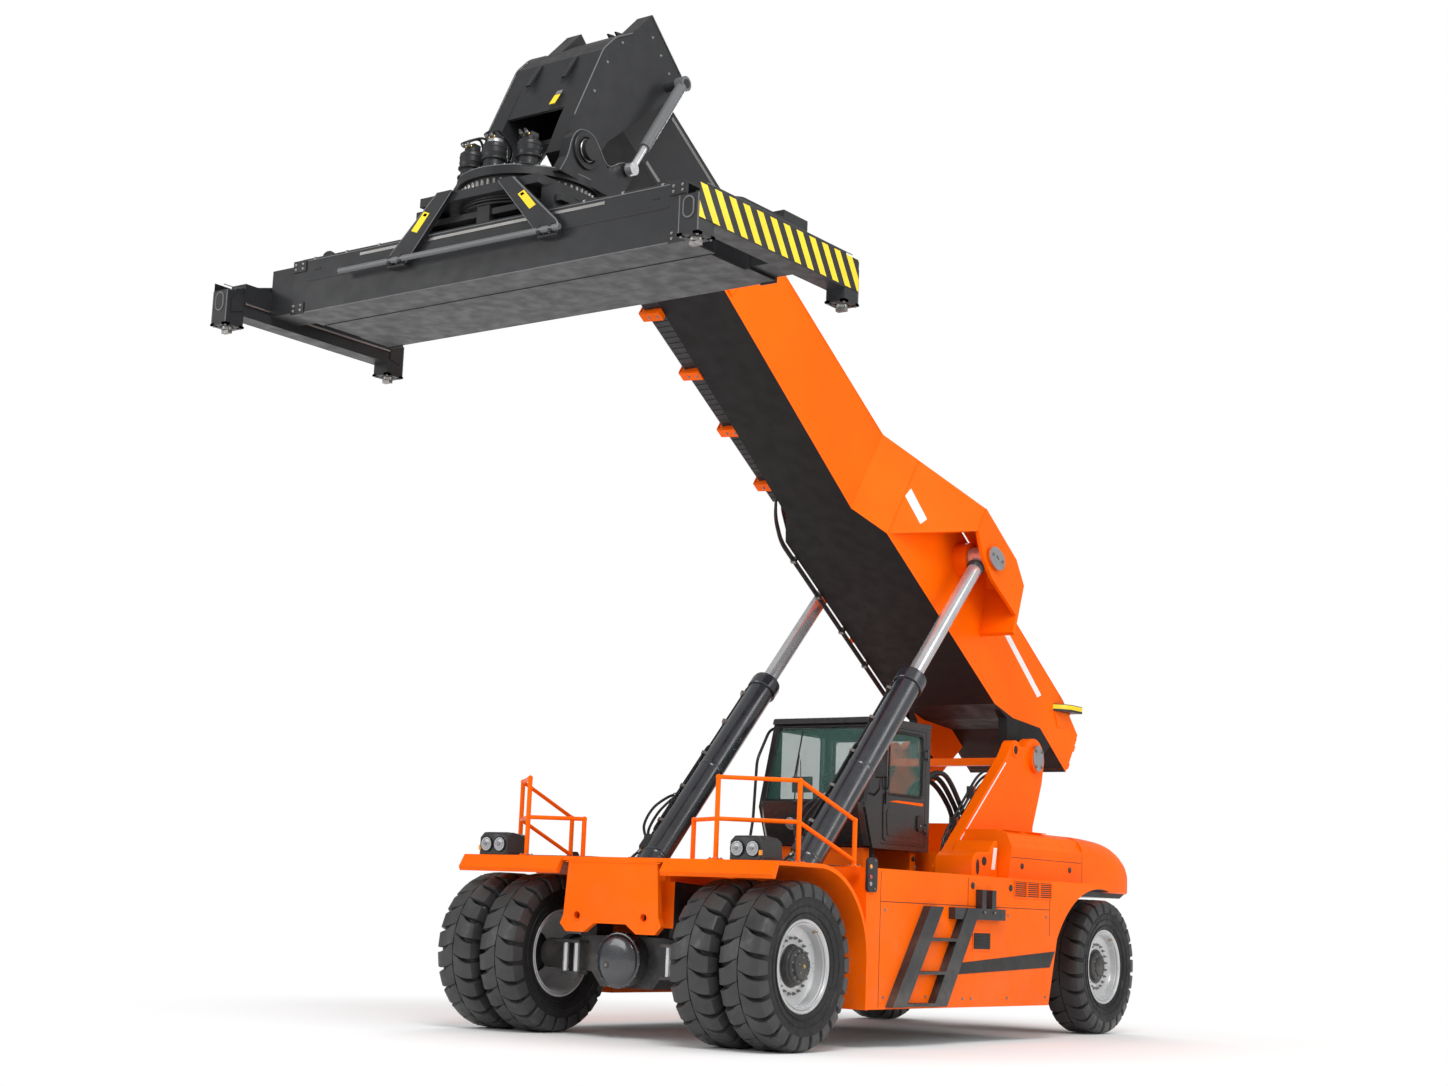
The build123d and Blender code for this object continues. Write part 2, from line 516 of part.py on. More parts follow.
with BuildPart() as outer:
    with BuildSketch(boom_side()):
        outline((BOOM_TAIL, 650), (-200, 680), (430, 340), (900, BOOM_UNDER), (FLARE_FORE, BOOM_UNDER),
                (BOOM_FRONT, MOUTH_UNDER), (BOOM_FRONT, BOOM_TOP), (-500, BOOM_TOP), (BOOM_TAIL, 1250))
    extrude(amount=BOOM_REAR_HALF, both=True)
    with BuildSketch(boom_plan(0)):
        outline((BOOM_TAIL, -BOOM_REAR_HALF), (FLARE_AFT, -BOOM_REAR_HALF), (FLARE_FORE, -BOOM_HALF),
                (BOOM_FRONT, -BOOM_HALF), (BOOM_FRONT, BOOM_HALF), (FLARE_FORE, BOOM_HALF),
                (FLARE_AFT, BOOM_REAR_HALF), (BOOM_TAIL, BOOM_REAR_HALF))
    extrude(amount=2500, mode=Mode.INTERSECT)
    add(shoulder.part)
    add(bore.part, mode=Mode.SUBTRACT)
    for s in (1, -1):
        with BuildSketch(boom_side(s * (BOOM_REAR_HALF - 60))):
            outline((-560, 700), (-230, -160), (0, -230), (230, -160), (560, 240), (900, 300), (900, 700))
        extrude(amount=60, both=True)
        boom_rod(0, 0, s * (BOOM_REAR_HALF - 60), 91, 200, mode=Mode.SUBTRACT)
        boom_rod(LIFT_PIN_U, LIFT_PIN_W, s * 790, 190, 190)
        with BuildSketch(boom_side(s * 1142)):
            outline((1700, 860), (1850, 1250), (2150, EYE_CLEAR + 25), (3040, EYE_CLEAR + 25), (3040, 1080),
                    (2760, 900), (2450, 830))
        extrude(amount=22, both=True)
        boom_rod(LIFT_PIN_U, LIFT_PIN_W, s * 1180, 120, 40)
        with BuildSketch(boom_side(s * 930)):
            outline((1640, 640), (1700, 640), (1850, 1220), (2150, EYE_CLEAR), (3040, EYE_CLEAR), (3040, EYE_CLEAR + 25),
                    (2130, EYE_CLEAR + 25), (1800, 1290))
        extrude(amount=234, both=True)
        for low, high in ((MOUTH_UNDER, INNER_LOW - GAP), (INNER_HIGH + GAP, BOOM_TOP - BOOM_WALL)):
            with BuildSketch(boom_side(s * 230)):
                outline((BOOM_FRONT - 300, low), (BOOM_FRONT, low), (BOOM_FRONT, high), (BOOM_FRONT - 300, high))
            extrude(amount=100, both=True)
    for u in CHANNEL_ARMS:
        with BuildSketch(boom_side(-BOOM_HALF - 145)):
            outline((u, CHANNEL_LOW), (u + 90, CHANNEL_LOW), (u + 90, CHANNEL_LOW + 60), (u, CHANNEL_LOW + 60))
        extrude(amount=145, both=True)
        with BuildSketch(boom_side(-BOOM_HALF - 270)):
            outline((u, CHANNEL_LOW), (u + 90, CHANNEL_LOW), (u + 90, CHANNEL_LOW + 150), (u, CHANNEL_LOW + 150))
        extrude(amount=20, both=True)
save(outer.part, "outer_boom")

with BuildPart() as channel:
    with BuildSketch(boom_side(-BOOM_HALF - 130)):
        outline((4480, CHANNEL_LOW + 60), (BOOM_FRONT - 80, CHANNEL_LOW + 60), (BOOM_FRONT - 80, CHANNEL_LOW + 280),
                (4480, CHANNEL_LOW + 280))
    extrude(amount=110, both=True)
    with BuildSketch(boom_side(-BOOM_HALF - 130)):
        outline((4470, CHANNEL_LOW + 85), (BOOM_FRONT, CHANNEL_LOW + 85), (BOOM_FRONT, CHANNEL_LOW + 400),
                (4470, CHANNEL_LOW + 400))
    extrude(amount=95, both=True, mode=Mode.SUBTRACT)
save(channel.part, "hose_channel")

with BuildPart() as inner:
    with BuildSketch(boom_side()):
        outline((900, INNER_LOW), (INNER_FRONT, INNER_LOW), (INNER_FRONT, INNER_HIGH), (900, INNER_HIGH))
    extrude(amount=INNER_HALF, both=True)
    with BuildSketch(boom_side()):
        outline((800, INNER_LOW + 20), (INNER_FRONT + 50, INNER_LOW + 20), (INNER_FRONT + 50, INNER_HIGH - 20),
                (800, INNER_HIGH - 20))
    extrude(amount=INNER_HALF - 20, both=True, mode=Mode.SUBTRACT)
save(inner.part, "inner_boom")

DAMP_U = HEAD_PIN_U - 530
DAMP_W = HEAD_PIN_W + 1700
with BuildPart() as head:
    for s in (1, -1):
        with BuildSketch(boom_side(s * (INNER_HALF + 95))):
            outline((9470, 1450), (10300, 1580), (10380, 1160), (10520, 900), (10570, 650), (10450, -250),
                    (HEAD_PIN_U + 160, HEAD_PIN_W - 140), (HEAD_PIN_U - 90, HEAD_PIN_W - 195),
                    (HEAD_PIN_U - 240, HEAD_PIN_W), (9960, -50), (9860, 270), (9630, 960))
        extrude(amount=95, both=True)
        boom_rod(HEAD_PIN_U, HEAD_PIN_W, s * 610, 70, 300)
        boom_rod(HEAD_PIN_U, HEAD_PIN_W, s * 745, 105, 70)
        boom_rod(DAMP_U, DAMP_W, s * 690, 45, 260)
    with BuildSketch(boom_side()):
        outline((INNER_FRONT, INNER_HIGH - 40), (10260, INNER_HIGH - 40), (10490, 880), (10540, 650), (10440, -60),
                (10470, -70), (10570, 650), (10520, 900), (10380, 1160), (10330, INNER_HIGH), (INNER_FRONT, INNER_HIGH))
    extrude(amount=INNER_HALF, both=True)
    with BuildSketch(boom_side()):
        outline((INNER_FRONT, INNER_LOW), (INNER_FRONT + 40, INNER_LOW), (INNER_FRONT + 40, INNER_HIGH), (INNER_FRONT, INNER_HIGH))
    extrude(amount=INNER_HALF, both=True)
    with BuildSketch(boom_side()):
        outline((INNER_FRONT + 20, INNER_LOW), (10100, -60), (10130, -30), (INNER_FRONT + 40, INNER_LOW + 60))
    extrude(amount=INNER_HALF, both=True)
save(head.part, "boom_head")

# Lift cylinders: barrel hung on the frame, rod whose eye stays beside the boom's cheek.
LIFT_PIN = boom_point(LIFT_PIN_U, LIFT_PIN_W)
LIFT_BASE = (0, FRONT_AXLE_Y + LIFT_BASE_RUN, LIFT_BASE_Z)
LIFT_LENGTH = math.hypot(LIFT_PIN[1] - LIFT_BASE[1], LIFT_PIN[2] - LIFT_BASE[2])
LIFT_DIR = (0, (LIFT_PIN[1] - LIFT_BASE[1]) / LIFT_LENGTH, (LIFT_PIN[2] - LIFT_BASE[2]) / LIFT_LENGTH)


def lift_plane(x, along):
    y = LIFT_BASE[1] + along * LIFT_DIR[1]
    z = LIFT_BASE[2] + along * LIFT_DIR[2]
    return Plane(origin=(x, y, z), x_dir=(1, 0, 0), z_dir=LIFT_DIR)


for label, s in SIDES:
    with BuildPart() as barrel:
        with BuildSketch(lift_plane(s * LIFT_X, 100)):
            Circle(LIFT_BARREL_R)
        extrude(amount=LIFT_BARREL_LENGTH - 100)
        with BuildSketch(lift_plane(s * LIFT_X, LIFT_BARREL_LENGTH - 90)):
            Circle(LIFT_BARREL_R + 16)
        extrude(amount=90)
        rod_x(s * LIFT_X, LIFT_BASE_RUN, LIFT_BASE_Z, 150, 260)
        with BuildSketch(lift_plane(s * LIFT_X, 300)):
            Circle(LIFT_ROD_R + 2)
        extrude(amount=LIFT_BARREL_LENGTH, mode=Mode.SUBTRACT)
        rod_x(s * LIFT_X, LIFT_BASE_RUN, LIFT_BASE_Z, 60.05, 300, mode=Mode.SUBTRACT)
    save(barrel.part, "lift_barrel_" + label)
    with BuildPart() as rod:
        with BuildSketch(lift_plane(s * LIFT_X, 1750)):
            Circle(LIFT_ROD_R)
        extrude(amount=LIFT_LENGTH - 1750)
        boom_rod(LIFT_PIN_U, LIFT_PIN_W, s * LIFT_X, 138, 220)
    save(rod.part, "lift_rod_" + label)

# Tilt yoke under the head pin, carrying the turning motors and the rear damper ears.
PIN_RUN = HEAD_PIN[1] - FRONT_AXLE_Y
PIN_Z = HEAD_PIN[2]
DAMP_EYE = (0, HEAD_PIN[1] + 620, PIN_Z)
DISC_Z = PIN_Z - 300
with BuildPart() as yoke:
    for s in (1, -1):
        with BuildSketch(side(s * 635)):
            outline((PIN_RUN - 360, DISC_Z), (PIN_RUN - 250, PIN_Z - 120), (PIN_RUN - 210, PIN_Z + 80),
                    (PIN_RUN - 100, PIN_Z + 200), (PIN_RUN + 100, PIN_Z + 200), (PIN_RUN + 210, PIN_Z + 80),
                    (PIN_RUN + 330, PIN_Z - 70), (PIN_RUN + 560, PIN_Z + 70), (PIN_RUN + 690, PIN_Z + 60),
                    (PIN_RUN + 710, PIN_Z - 60), (PIN_RUN + 600, PIN_Z - 240), (PIN_RUN + 440, DISC_Z - 45))
        extrude(amount=60, both=True)
        rod_x(s * 635, PIN_RUN, PIN_Z, 70.5, 200, mode=Mode.SUBTRACT)
        rod_x(s * 700, PIN_RUN + 620, PIN_Z, 60, 38)
    with Locations((0, HEAD_PIN[1], DISC_Z)):
        Cylinder(700, 90)
    for x, y in ((-330, -480), (40, -560), (380, -450)):
        upright(x, HEAD_PIN[1] + y, DISC_Z + 45, DISC_Z + 130, 100)
        upright(x, HEAD_PIN[1] + y, DISC_Z + 130, DISC_Z + 330, 62)
save(yoke.part, "tilt_yoke")

DAMP_TOP = boom_point(DAMP_U, DAMP_W)
DAMP_LENGTH = math.hypot(DAMP_TOP[1] - DAMP_EYE[1], DAMP_TOP[2] - DAMP_EYE[2])
DAMP_DIR = (0, (DAMP_EYE[1] - DAMP_TOP[1]) / DAMP_LENGTH, (DAMP_EYE[2] - DAMP_TOP[2]) / DAMP_LENGTH)
DAMP_X = 762
DAMP_BARREL = 1030
DAMP_ROD = 1010


def damp_plane(x, along):
    y = DAMP_TOP[1] + along * DAMP_DIR[1]
    z = DAMP_TOP[2] + along * DAMP_DIR[2]
    return Plane(origin=(x, y, z), x_dir=(1, 0, 0), z_dir=DAMP_DIR)


with BuildPart() as damper:
    for s in (1, -1):
        with BuildSketch(damp_plane(s * DAMP_X, 0)):
            Circle(58)
        extrude(amount=DAMP_BARREL)
        boom_rod(DAMP_U, DAMP_W, s * DAMP_X, 78, 100)
        with BuildSketch(damp_plane(s * DAMP_X, 110)):
            Circle(40)
        extrude(amount=DAMP_LENGTH, mode=Mode.SUBTRACT)
        boom_rod(DAMP_U, DAMP_W, s * DAMP_X, 45.05, 200, mode=Mode.SUBTRACT)
save(damper.part, "damper_barrels")

with BuildPart() as damper_rod:
    for s in (1, -1):
        with BuildSketch(damp_plane(s * DAMP_X, DAMP_LENGTH - DAMP_ROD)):
            Circle(36)
        extrude(amount=DAMP_ROD)
        rod_x(s * DAMP_X, PIN_RUN + 620, PIN_Z, 66, 76)
save(damper_rod.part, "damper_rods")

RING_Z = DISC_Z - 45 - GAP
with BuildPart() as rotator:
    with Locations((0, SPREADER_Y, RING_Z - 50)):
        Cylinder(660, 100)
save(rotator.part, "slew_rotator")

BOX_Y = 480
BOX_HALF_Y = 220
DECK_Z = RING_Z - 100
with BuildPart() as shifter:
    with Locations((0, SPREADER_Y, DECK_Z - 45)):
        Box(1500, 1440, 90)
    for y in (-BOX_Y, BOX_Y):
        with Locations((0, SPREADER_Y + y, (DECK_Z - 90 + BEAM_TOP + GAP) / 2)):
            Box(1900, 260, 60)
        for x in (-800, 0, 800):
            with Locations((x, SPREADER_Y + y, (DECK_Z - 90 + BEAM_TOP + GAP) / 2)):
                Box(160, 300, DECK_Z - 90 - BEAM_TOP - GAP)
    for t in (1, -1):
        for s in (1, -1):
            y = SPREADER_Y + t * (BOX_Y + BOX_HALF_Y + GAP + 35)
            with BuildSketch(Plane(origin=(0, y, 0), x_dir=(1, 0, 0), z_dir=(0, -1, 0))):
                outline((s * 300, DECK_Z), (s * 480, DECK_Z), (s * 1060, 7400), (s * 1060, 7290), (s * 860, 7290))
            extrude(amount=35, both=True)
save(shifter.part, "spreader_frame")

MID_Z = (BEAM_LOW + BEAM_TOP) / 2
WALL = 16
with BuildPart() as beam:
    for t in (1, -1):
        with Locations((0, SPREADER_Y + t * BOX_Y, MID_Z)):
            Box(2 * MAIN_BEAM_HALF, 2 * BOX_HALF_Y, BEAM_TOP - BEAM_LOW)
            Box(2 * MAIN_BEAM_HALF + 10, 2 * (BOX_HALF_Y - WALL), BEAM_TOP - BEAM_LOW - 2 * WALL, mode=Mode.SUBTRACT)
    for x in (-2200, -1100, 0, 1100, 2200):
        with Locations((x, SPREADER_Y, BEAM_LOW + 140)):
            Box(200, 2 * (BOX_Y - BOX_HALF_Y), 240)
save(beam.part, "main_beam")

ARM_SLACK = 12
for label, s in SIDES:
    with BuildPart() as grip:
        arm_in, arm_out = -ARM_TAIL, GRIP_HALF_X - 100
        with Locations((s * (arm_in + arm_out) / 2, SPREADER_Y + s * BOX_Y, MID_Z)):
            Box(arm_out - arm_in, 2 * (BOX_HALF_Y - WALL - ARM_SLACK), BEAM_TOP - BEAM_LOW - 2 * (WALL + ARM_SLACK))
        with Locations((s * GRIP_HALF_X, SPREADER_Y, 7140)):
            Box(210, 2 * GRIP_HALF_Y - 220, 340)
        for t in (1, -1):
            with Locations((s * GRIP_HALF_X, SPREADER_Y + t * GRIP_HALF_Y, 7030)):
                Box(200, 230, 340)
            with BuildSketch(Plane(origin=(s * (GRIP_HALF_X - 60), SPREADER_Y, 0), x_dir=(0, 1, 0), z_dir=(1, 0, 0))):
                outline((0, 7425), (t * 420, 7425), (t * 1120, 7240), (t * 1120, 7180), (0, 7180))
            extrude(amount=20, both=True)
            upright(s * GRIP_HALF_X, SPREADER_Y + t * GRIP_HALF_Y, 6800, 7000, 32, mode=Mode.SUBTRACT)
    save(grip.part, "end_beam_" + label)
    for end, t in (("front", -1), ("rear", 1)):
        with BuildPart() as lock:
            upright(s * GRIP_HALF_X, SPREADER_Y + t * GRIP_HALF_Y, GRIP_UNDER, 6995, 28)
            with Locations((s * GRIP_HALF_X, SPREADER_Y + t * GRIP_HALF_Y, GRIP_UNDER + 25)):
                Box(100, 54, 50)
        save(lock.part, "twistlock_" + end + "_" + label)
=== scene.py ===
import math
from itertools import product

import bmesh
import bpy
from mathutils import Matrix, Vector
from mathutils.bvhtree import BVHTree


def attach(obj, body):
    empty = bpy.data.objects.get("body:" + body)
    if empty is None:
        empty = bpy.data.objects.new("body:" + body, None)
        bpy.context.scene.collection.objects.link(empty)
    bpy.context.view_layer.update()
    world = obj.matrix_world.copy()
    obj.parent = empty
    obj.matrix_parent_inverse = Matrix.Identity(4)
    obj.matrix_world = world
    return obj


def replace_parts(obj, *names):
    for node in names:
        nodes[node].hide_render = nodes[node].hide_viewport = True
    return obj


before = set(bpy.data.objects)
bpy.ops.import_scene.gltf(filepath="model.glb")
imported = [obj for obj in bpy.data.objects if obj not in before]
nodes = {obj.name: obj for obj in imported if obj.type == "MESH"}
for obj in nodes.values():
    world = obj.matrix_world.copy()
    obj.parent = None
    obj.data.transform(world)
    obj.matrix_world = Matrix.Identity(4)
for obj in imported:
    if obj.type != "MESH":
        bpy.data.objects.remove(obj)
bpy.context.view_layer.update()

SIDES = (("left", 1), ("right", -1))

# Driving sizes in millimetres. "run" is measured back from the front axle, x to the machine's left.
FRONT_M = -2.4
WHEELBASE = 7000
HUB_Z = 800
DECK_TOP = 1770
OUTER_DUAL, INNER_DUAL, REAR_WHEEL = 1780, 1205, 1480
PANEL_X = 1930
TOWER_X = 910
HOOD_HALF, HOOD_TOP = 1560, 2340
BOOM_HALF, BOOM_REAR_HALF, BOOM_TOP, BOOM_FRONT = 450, 700, 1370, 7800
MOUTH_UNDER = 375
INNER_LOW, INNER_HIGH, INNER_HALF = 455, 1290, 370
EYE_X = 1200
LIFT_X, BARREL_R, BARREL_LENGTH = 1000, 150, 3250
GRIP_X, GRIP_Y = 2926.5, 1129.5
BEAM_LOW, BEAM_TOP, BEAM_HALF, BEAM_SIDE = 7020, 7560, 2480, 700

RIGHT, BACK, UP = (1, 0, 0), (0, 1, 0), (0, 0, 1)
FORWARD, DOWN = (0, -1, 0), (0, 0, -1)


def frame_matrix(origin, x, y, z):
    rows = [[x[i], y[i], z[i], origin[i]] for i in range(3)]
    return Matrix(rows + [[0, 0, 0, 1]])


# Each frame takes millimetres and gives the row frame's metres.
MM = Matrix.Scale(0.001, 4)
PLAN = Matrix.Translation((0, FRONT_M, 0)) @ MM  # (x, run, z)
BOOM_ANGLE = math.radians(33)
FORE = Vector((0, -math.cos(BOOM_ANGLE), math.sin(BOOM_ANGLE)))
OVER = Vector((0, math.sin(BOOM_ANGLE), math.cos(BOOM_ANGLE)))
BOOM = frame_matrix(PLAN @ Vector((0, 6600, 3270)), RIGHT, FORE, OVER) @ MM  # (x, along it, above its pivot)
HEAD_PIN_U, HEAD_PIN_W = 10210, -530
HEAD_PIN = BOOM @ Vector((0, HEAD_PIN_U, HEAD_PIN_W))
YOKE = Matrix.Translation(HEAD_PIN) @ MM  # from the head pin
SPREADER = Matrix.Translation((0, HEAD_PIN.y, 0)) @ MM  # (x, y from the rotator's axis, z)
LIFT_BASE = PLAN @ Vector((0, 1260, 1600))
LIFT_PIN = BOOM @ Vector((0, 2580, 1060))
DISC_DROP = -300
RING_LOW = HEAD_PIN.z * 1000 + DISC_DROP - 155


def shift(at, dx=0, dy=0, dz=0):
    return Vector(at) + Vector((dx, dy, dz))


def circle(count, start=0.0):
    turns = [math.tau * (k + start) / count for k in range(count)]
    return [(math.cos(t), math.sin(t)) for t in turns]


# ---------------------------------------------------------------- materials


def add_node(tree, kind, **values):
    """A shader node with some of its inputs and settings given; an underscore stands for a space."""
    made = tree.nodes.new("ShaderNode" + kind)
    for key, value in values.items():
        spaced = key.replace("_", " ")
        if spaced in made.inputs:
            made.inputs[spaced].default_value = value
        else:
            setattr(made, key, value)
    return made


class Shader:
    """One node-based material around a Principled shader."""

    def __init__(self, name, **values):
        self.material = bpy.data.materials.new(name)
        self.material.use_nodes = True
        self.tree = self.material.node_tree
        self.main = self.tree.nodes["Principled BSDF"]
        self.place = self.node("TexCoord").outputs["Object"]
        for key, value in values.items():
            self.main.inputs[key.replace("_", " ")].default_value = value

    def node(self, kind, **values):
        return add_node(self.tree, kind, **values)

    def link(self, a, b):
        self.tree.links.new(a, b)

    def textured(self, kind, output, place=None, **values):
        made = self.node(kind, **values)
        self.link(place or self.place, made.inputs["Vector"])
        return made.outputs[output]

    def noise(self, scale, detail=3.0, roughness=0.5):
        return self.textured("TexNoise", "Fac", Scale=scale, Detail=detail, Roughness=roughness)

    def ramp(self, source, low, high, start=0.35, end=0.65):
        made = self.node("MapRange", From_Min=start, From_Max=end, To_Min=low, To_Max=high)
        self.link(source, made.inputs["Value"])
        return made.outputs["Result"]

    def mix(self, factor, a, b):
        made = self.node("Mix", data_type="RGBA")
        for socket, value in ((made.inputs[0], factor), (made.inputs[6], a), (made.inputs[7], b)):
            if isinstance(value, bpy.types.NodeSocket):
                self.link(value, socket)
            else:
                socket.default_value = value
        return made.outputs[2]

    def tone(self, scale, colour, dark, light, detail=3.0):
        """Slow change between a darker and a lighter tone of one colour."""
        return self.mix(self.ramp(self.noise(scale, detail), 0.0, 1.0), rgb(*colour, dark),
                        rgb(*colour, light))

    def bump(self, height, strength, distance):
        made = self.node("Bump", Strength=strength, Distance=distance)
        self.link(height, made.inputs["Height"])
        normal = self.main.inputs["Normal"]
        if normal.is_linked:
            self.link(normal.links[0].from_socket, made.inputs["Normal"])
        self.link(made.outputs["Normal"], normal)

    def colour(self, socket):
        self.link(socket, self.main.inputs["Base Color"])

    def rough(self, socket):
        self.link(socket, self.main.inputs["Roughness"])


def rgb(r, g, b, k=1.0):
    return (r * k, g * k, b * k, 1.0)


def paint(name, colour, rough=0.34, coat=0.35, metallic=0.0, dust=0.12, peel=0.10, streak=0.10, shine=0.3,
          grain=0.72):
    """Machine paint: slow tone changes, fine orange peel, uneven gloss and road dust low down."""
    s = Shader(name, Metallic=metallic, Coat_Weight=coat, Coat_Roughness=0.12, Specular_IOR_Level=shine)
    tone = s.tone(0.9, colour, 1.0 - streak, 1.0 + streak * 0.4)
    fine = s.mix(s.ramp(s.noise(38.0, 5.0), 0.0, 0.06, 0.48, 0.75), tone, rgb(*colour, grain))
    height = s.textured("SeparateXYZ", "Z")
    both = s.node("Math", operation="MULTIPLY")
    s.link(s.ramp(height, 1.0, 0.0, 0.2, 1.9), both.inputs[0])
    s.link(s.ramp(s.noise(3.4, 6.0, 0.65), 0.0, dust, 0.42, 0.68), both.inputs[1])
    s.colour(s.mix(both.outputs[0], fine, rgb(0.30, 0.26, 0.21)))
    s.rough(s.ramp(s.noise(6.0, 4.0), rough - 0.06, rough + 0.09))
    s.bump(s.noise(190.0, 2.0), peel, 0.0012)
    return s.material


def metal(name, colour, rough, grain=(2.0, 2.0, 90.0), strength=0.05, metallic=1.0):
    """Bare or plated metal with drawn grain and slightly uneven polish."""
    s = Shader(name, Metallic=metallic)
    stretched = s.textured("Mapping", "Vector", Scale=grain)
    drawn = s.textured("TexNoise", "Fac", stretched, Scale=14.0, Detail=4.0)
    s.colour(s.tone(5.0, colour, 0.86, 1.0))
    s.rough(s.ramp(drawn, max(rough - 0.05, 0.03), rough + 0.08))
    s.bump(drawn, strength, 0.0006)
    return s.material


def rubber(name, colour, rough=0.62, dust=0.35, bump=0.35):
    s = Shader(name, Specular_IOR_Level=0.35)
    dusty = s.ramp(s.noise(9.0, 7.0, 0.7), 0.0, dust, 0.5, 0.75)
    s.colour(s.mix(dusty, s.tone(2.2, colour, 0.8, 1.25, 5.0), rgb(0.085, 0.078, 0.068)))
    s.rough(s.ramp(s.noise(16.0, 4.0), rough - 0.12, rough + 0.12))
    s.bump(s.noise(60.0, 6.0, 0.6), bump, 0.002)
    s.bump(s.noise(420.0, 2.0), bump * 0.5, 0.0008)
    return s.material


def plastic(name, colour, rough=0.45):
    s = Shader(name)
    s.colour(s.tone(4.0, colour, 0.85, 1.12))
    s.rough(s.ramp(s.noise(11.0, 4.0), rough - 0.07, rough + 0.1))
    s.bump(s.noise(260.0, 3.0), 0.18, 0.0009)
    return s.material


def glazing(name, colour, alpha):
    """Tinted pane: mostly clear film with a mirror coat and faint smears."""
    s = Shader(name, IOR=1.5, Alpha=alpha, Specular_IOR_Level=0.8)
    s.colour(s.tone(1.6, colour, 0.85, 1.0))
    s.rough(s.ramp(s.noise(7.0, 5.0), 0.03, 0.09, 0.45, 0.8))
    return s.material


def lens(name, colour):
    s = Shader(name, Roughness=0.08, Coat_Weight=1.0, Coat_Roughness=0.03)
    ribs = s.textured("TexWave", "Fac", Scale=26.0, Distortion=0.0)
    s.colour(s.mix(ribs, rgb(*colour, 0.7), rgb(*colour)))
    s.bump(ribs, 0.3, 0.002)
    return s.material


def woven(name, colour):
    s = Shader(name, Sheen_Weight=0.4, Sheen_Roughness=0.5)
    weave = s.textured("TexBrick", "Fac", Scale=95.0, Mortar_Size=0.12)
    s.colour(s.mix(weave, rgb(*colour, 1.4), rgb(*colour, 0.5)))
    s.rough(s.ramp(s.noise(20.0), 0.75, 0.95))
    s.bump(weave, 0.5, 0.0015)
    return s.material


def walkway(name, colour):
    """Walkway coating with raised lozenges."""
    s = Shader(name)
    s.colour(s.mix(s.ramp(s.noise(5.0, 5.0), 0.0, 0.6), rgb(*colour), rgb(0.10, 0.09, 0.08)))
    s.rough(s.ramp(s.noise(30.0), 0.7, 0.92))
    s.bump(s.textured("TexVoronoi", "Distance", Scale=38.0), 0.7, 0.004)
    return s.material


ORANGE = (0.96, 0.132, 0.0004)
M = {
    "orange": paint("orange_machine_paint", ORANGE, 0.34, 0.02, shine=0.07),
    "orange_dull": paint("orange_frame_paint", ORANGE, 0.45, 0.0, dust=0.3, shine=0.06),
    "grey": paint("dark_grey_paint", (0.0205, 0.021, 0.0225), 0.40, 0.06, dust=0.05, streak=0.08, shine=0.24,
                  grain=0.86),
    # Lighter grey; on rounded edges and rims it is a painted edge highlight.
    "light_grey_and_edge_highlight": paint("light_grey_paint_and_painted_edge_highlight", (0.12, 0.122, 0.127), 0.36, 0.2, dust=0.05),
    "black": paint("black_chassis_paint", (0.018, 0.0185, 0.02), 0.36, 0.3, dust=0.22),
    "barrel": paint("black_cylinder_paint", (0.016, 0.018, 0.024), 0.26, 0.8, dust=0.02, peel=0.01,
                    streak=0.03, shine=0.7, grain=0.95),
    "underside": paint("boom_underside_paint", (0.0125, 0.012, 0.012), 0.55, 0.0, dust=0.0, shine=0.2),
    "cast": paint("cast_housing_paint", (0.032, 0.033, 0.036), 0.5, 0.15, peel=0.5, dust=0.3),
    "silver": paint("silver_wheel_paint", (0.56, 0.57, 0.58), 0.32, 0.3, metallic=0.35, dust=0.25),
    "cab": paint("cab_dark_paint", (0.024, 0.022, 0.023), 0.28, 0.55, dust=0.05),
    "white": paint("white_marking_film", (0.80, 0.80, 0.79), 0.4, 0.1, dust=0.05, streak=0.04),
    "yellow": paint("yellow_marking_film", (0.83, 0.60, 0.015), 0.38, 0.2, dust=0.1),
    # Black film for printed marks, also used as painted shade in holes, slots and behind vent slats.
    "black_mark_and_painted_shade": paint("black_marking_film_and_painted_shade", (0.012, 0.012, 0.012), 0.42, 0.1, dust=0.04),
    # The tyres' carcass rubber is darker than the lugs' rubber: painted shade in the grooves and a painted
    # sheen on the lug faces.
    "tyre": rubber("tyre_rubber", (0.010, 0.010, 0.0105), 0.50, 0.12),
    "lug_painted_sheen": rubber("tyre_lug_rubber_painted_sheen", (0.040, 0.040, 0.0405), 0.42, 0.14),
    "hose": rubber("hose_rubber", (0.013, 0.013, 0.014), 0.45, 0.15, 0.2),
    "seal": rubber("window_seal_rubber", (0.010, 0.010, 0.011), 0.5, 0.05, 0.1),
    "plastic": plastic("black_moulded_plastic", (0.017, 0.017, 0.018)),
    "trim": plastic("cab_trim_plastic", (0.03, 0.031, 0.034), 0.55),
    "chrome": metal("hard_chrome", (0.74, 0.74, 0.76), 0.17, (60.0, 2.0, 2.0), 0.02, 0.72),
    "steel": metal("worn_steel", (0.30, 0.29, 0.28), 0.36),
    "zinc": metal("zinc_fastener", (0.30, 0.30, 0.29), 0.40),
    "brass": metal("hose_fitting_brass", (0.60, 0.42, 0.16), 0.35),
    "castpin": metal("cast_alloy_cover", (0.50, 0.50, 0.52), 0.46, (3.0, 3.0, 3.0), 0.3),
    "glass": glazing("green_safety_glass", (0.075, 0.185, 0.155), 0.25),
    "lamp_glass": lens("lamp_lens", (0.30, 0.31, 0.33)),
    "amber": lens("amber_lens", (0.95, 0.33, 0.01)),
    "red": lens("red_lens", (0.55, 0.01, 0.01)),
    "fabric": woven("seat_weave", (0.045, 0.047, 0.055)),
    "grip": walkway("walkway_grip", (0.028, 0.028, 0.03)),
}
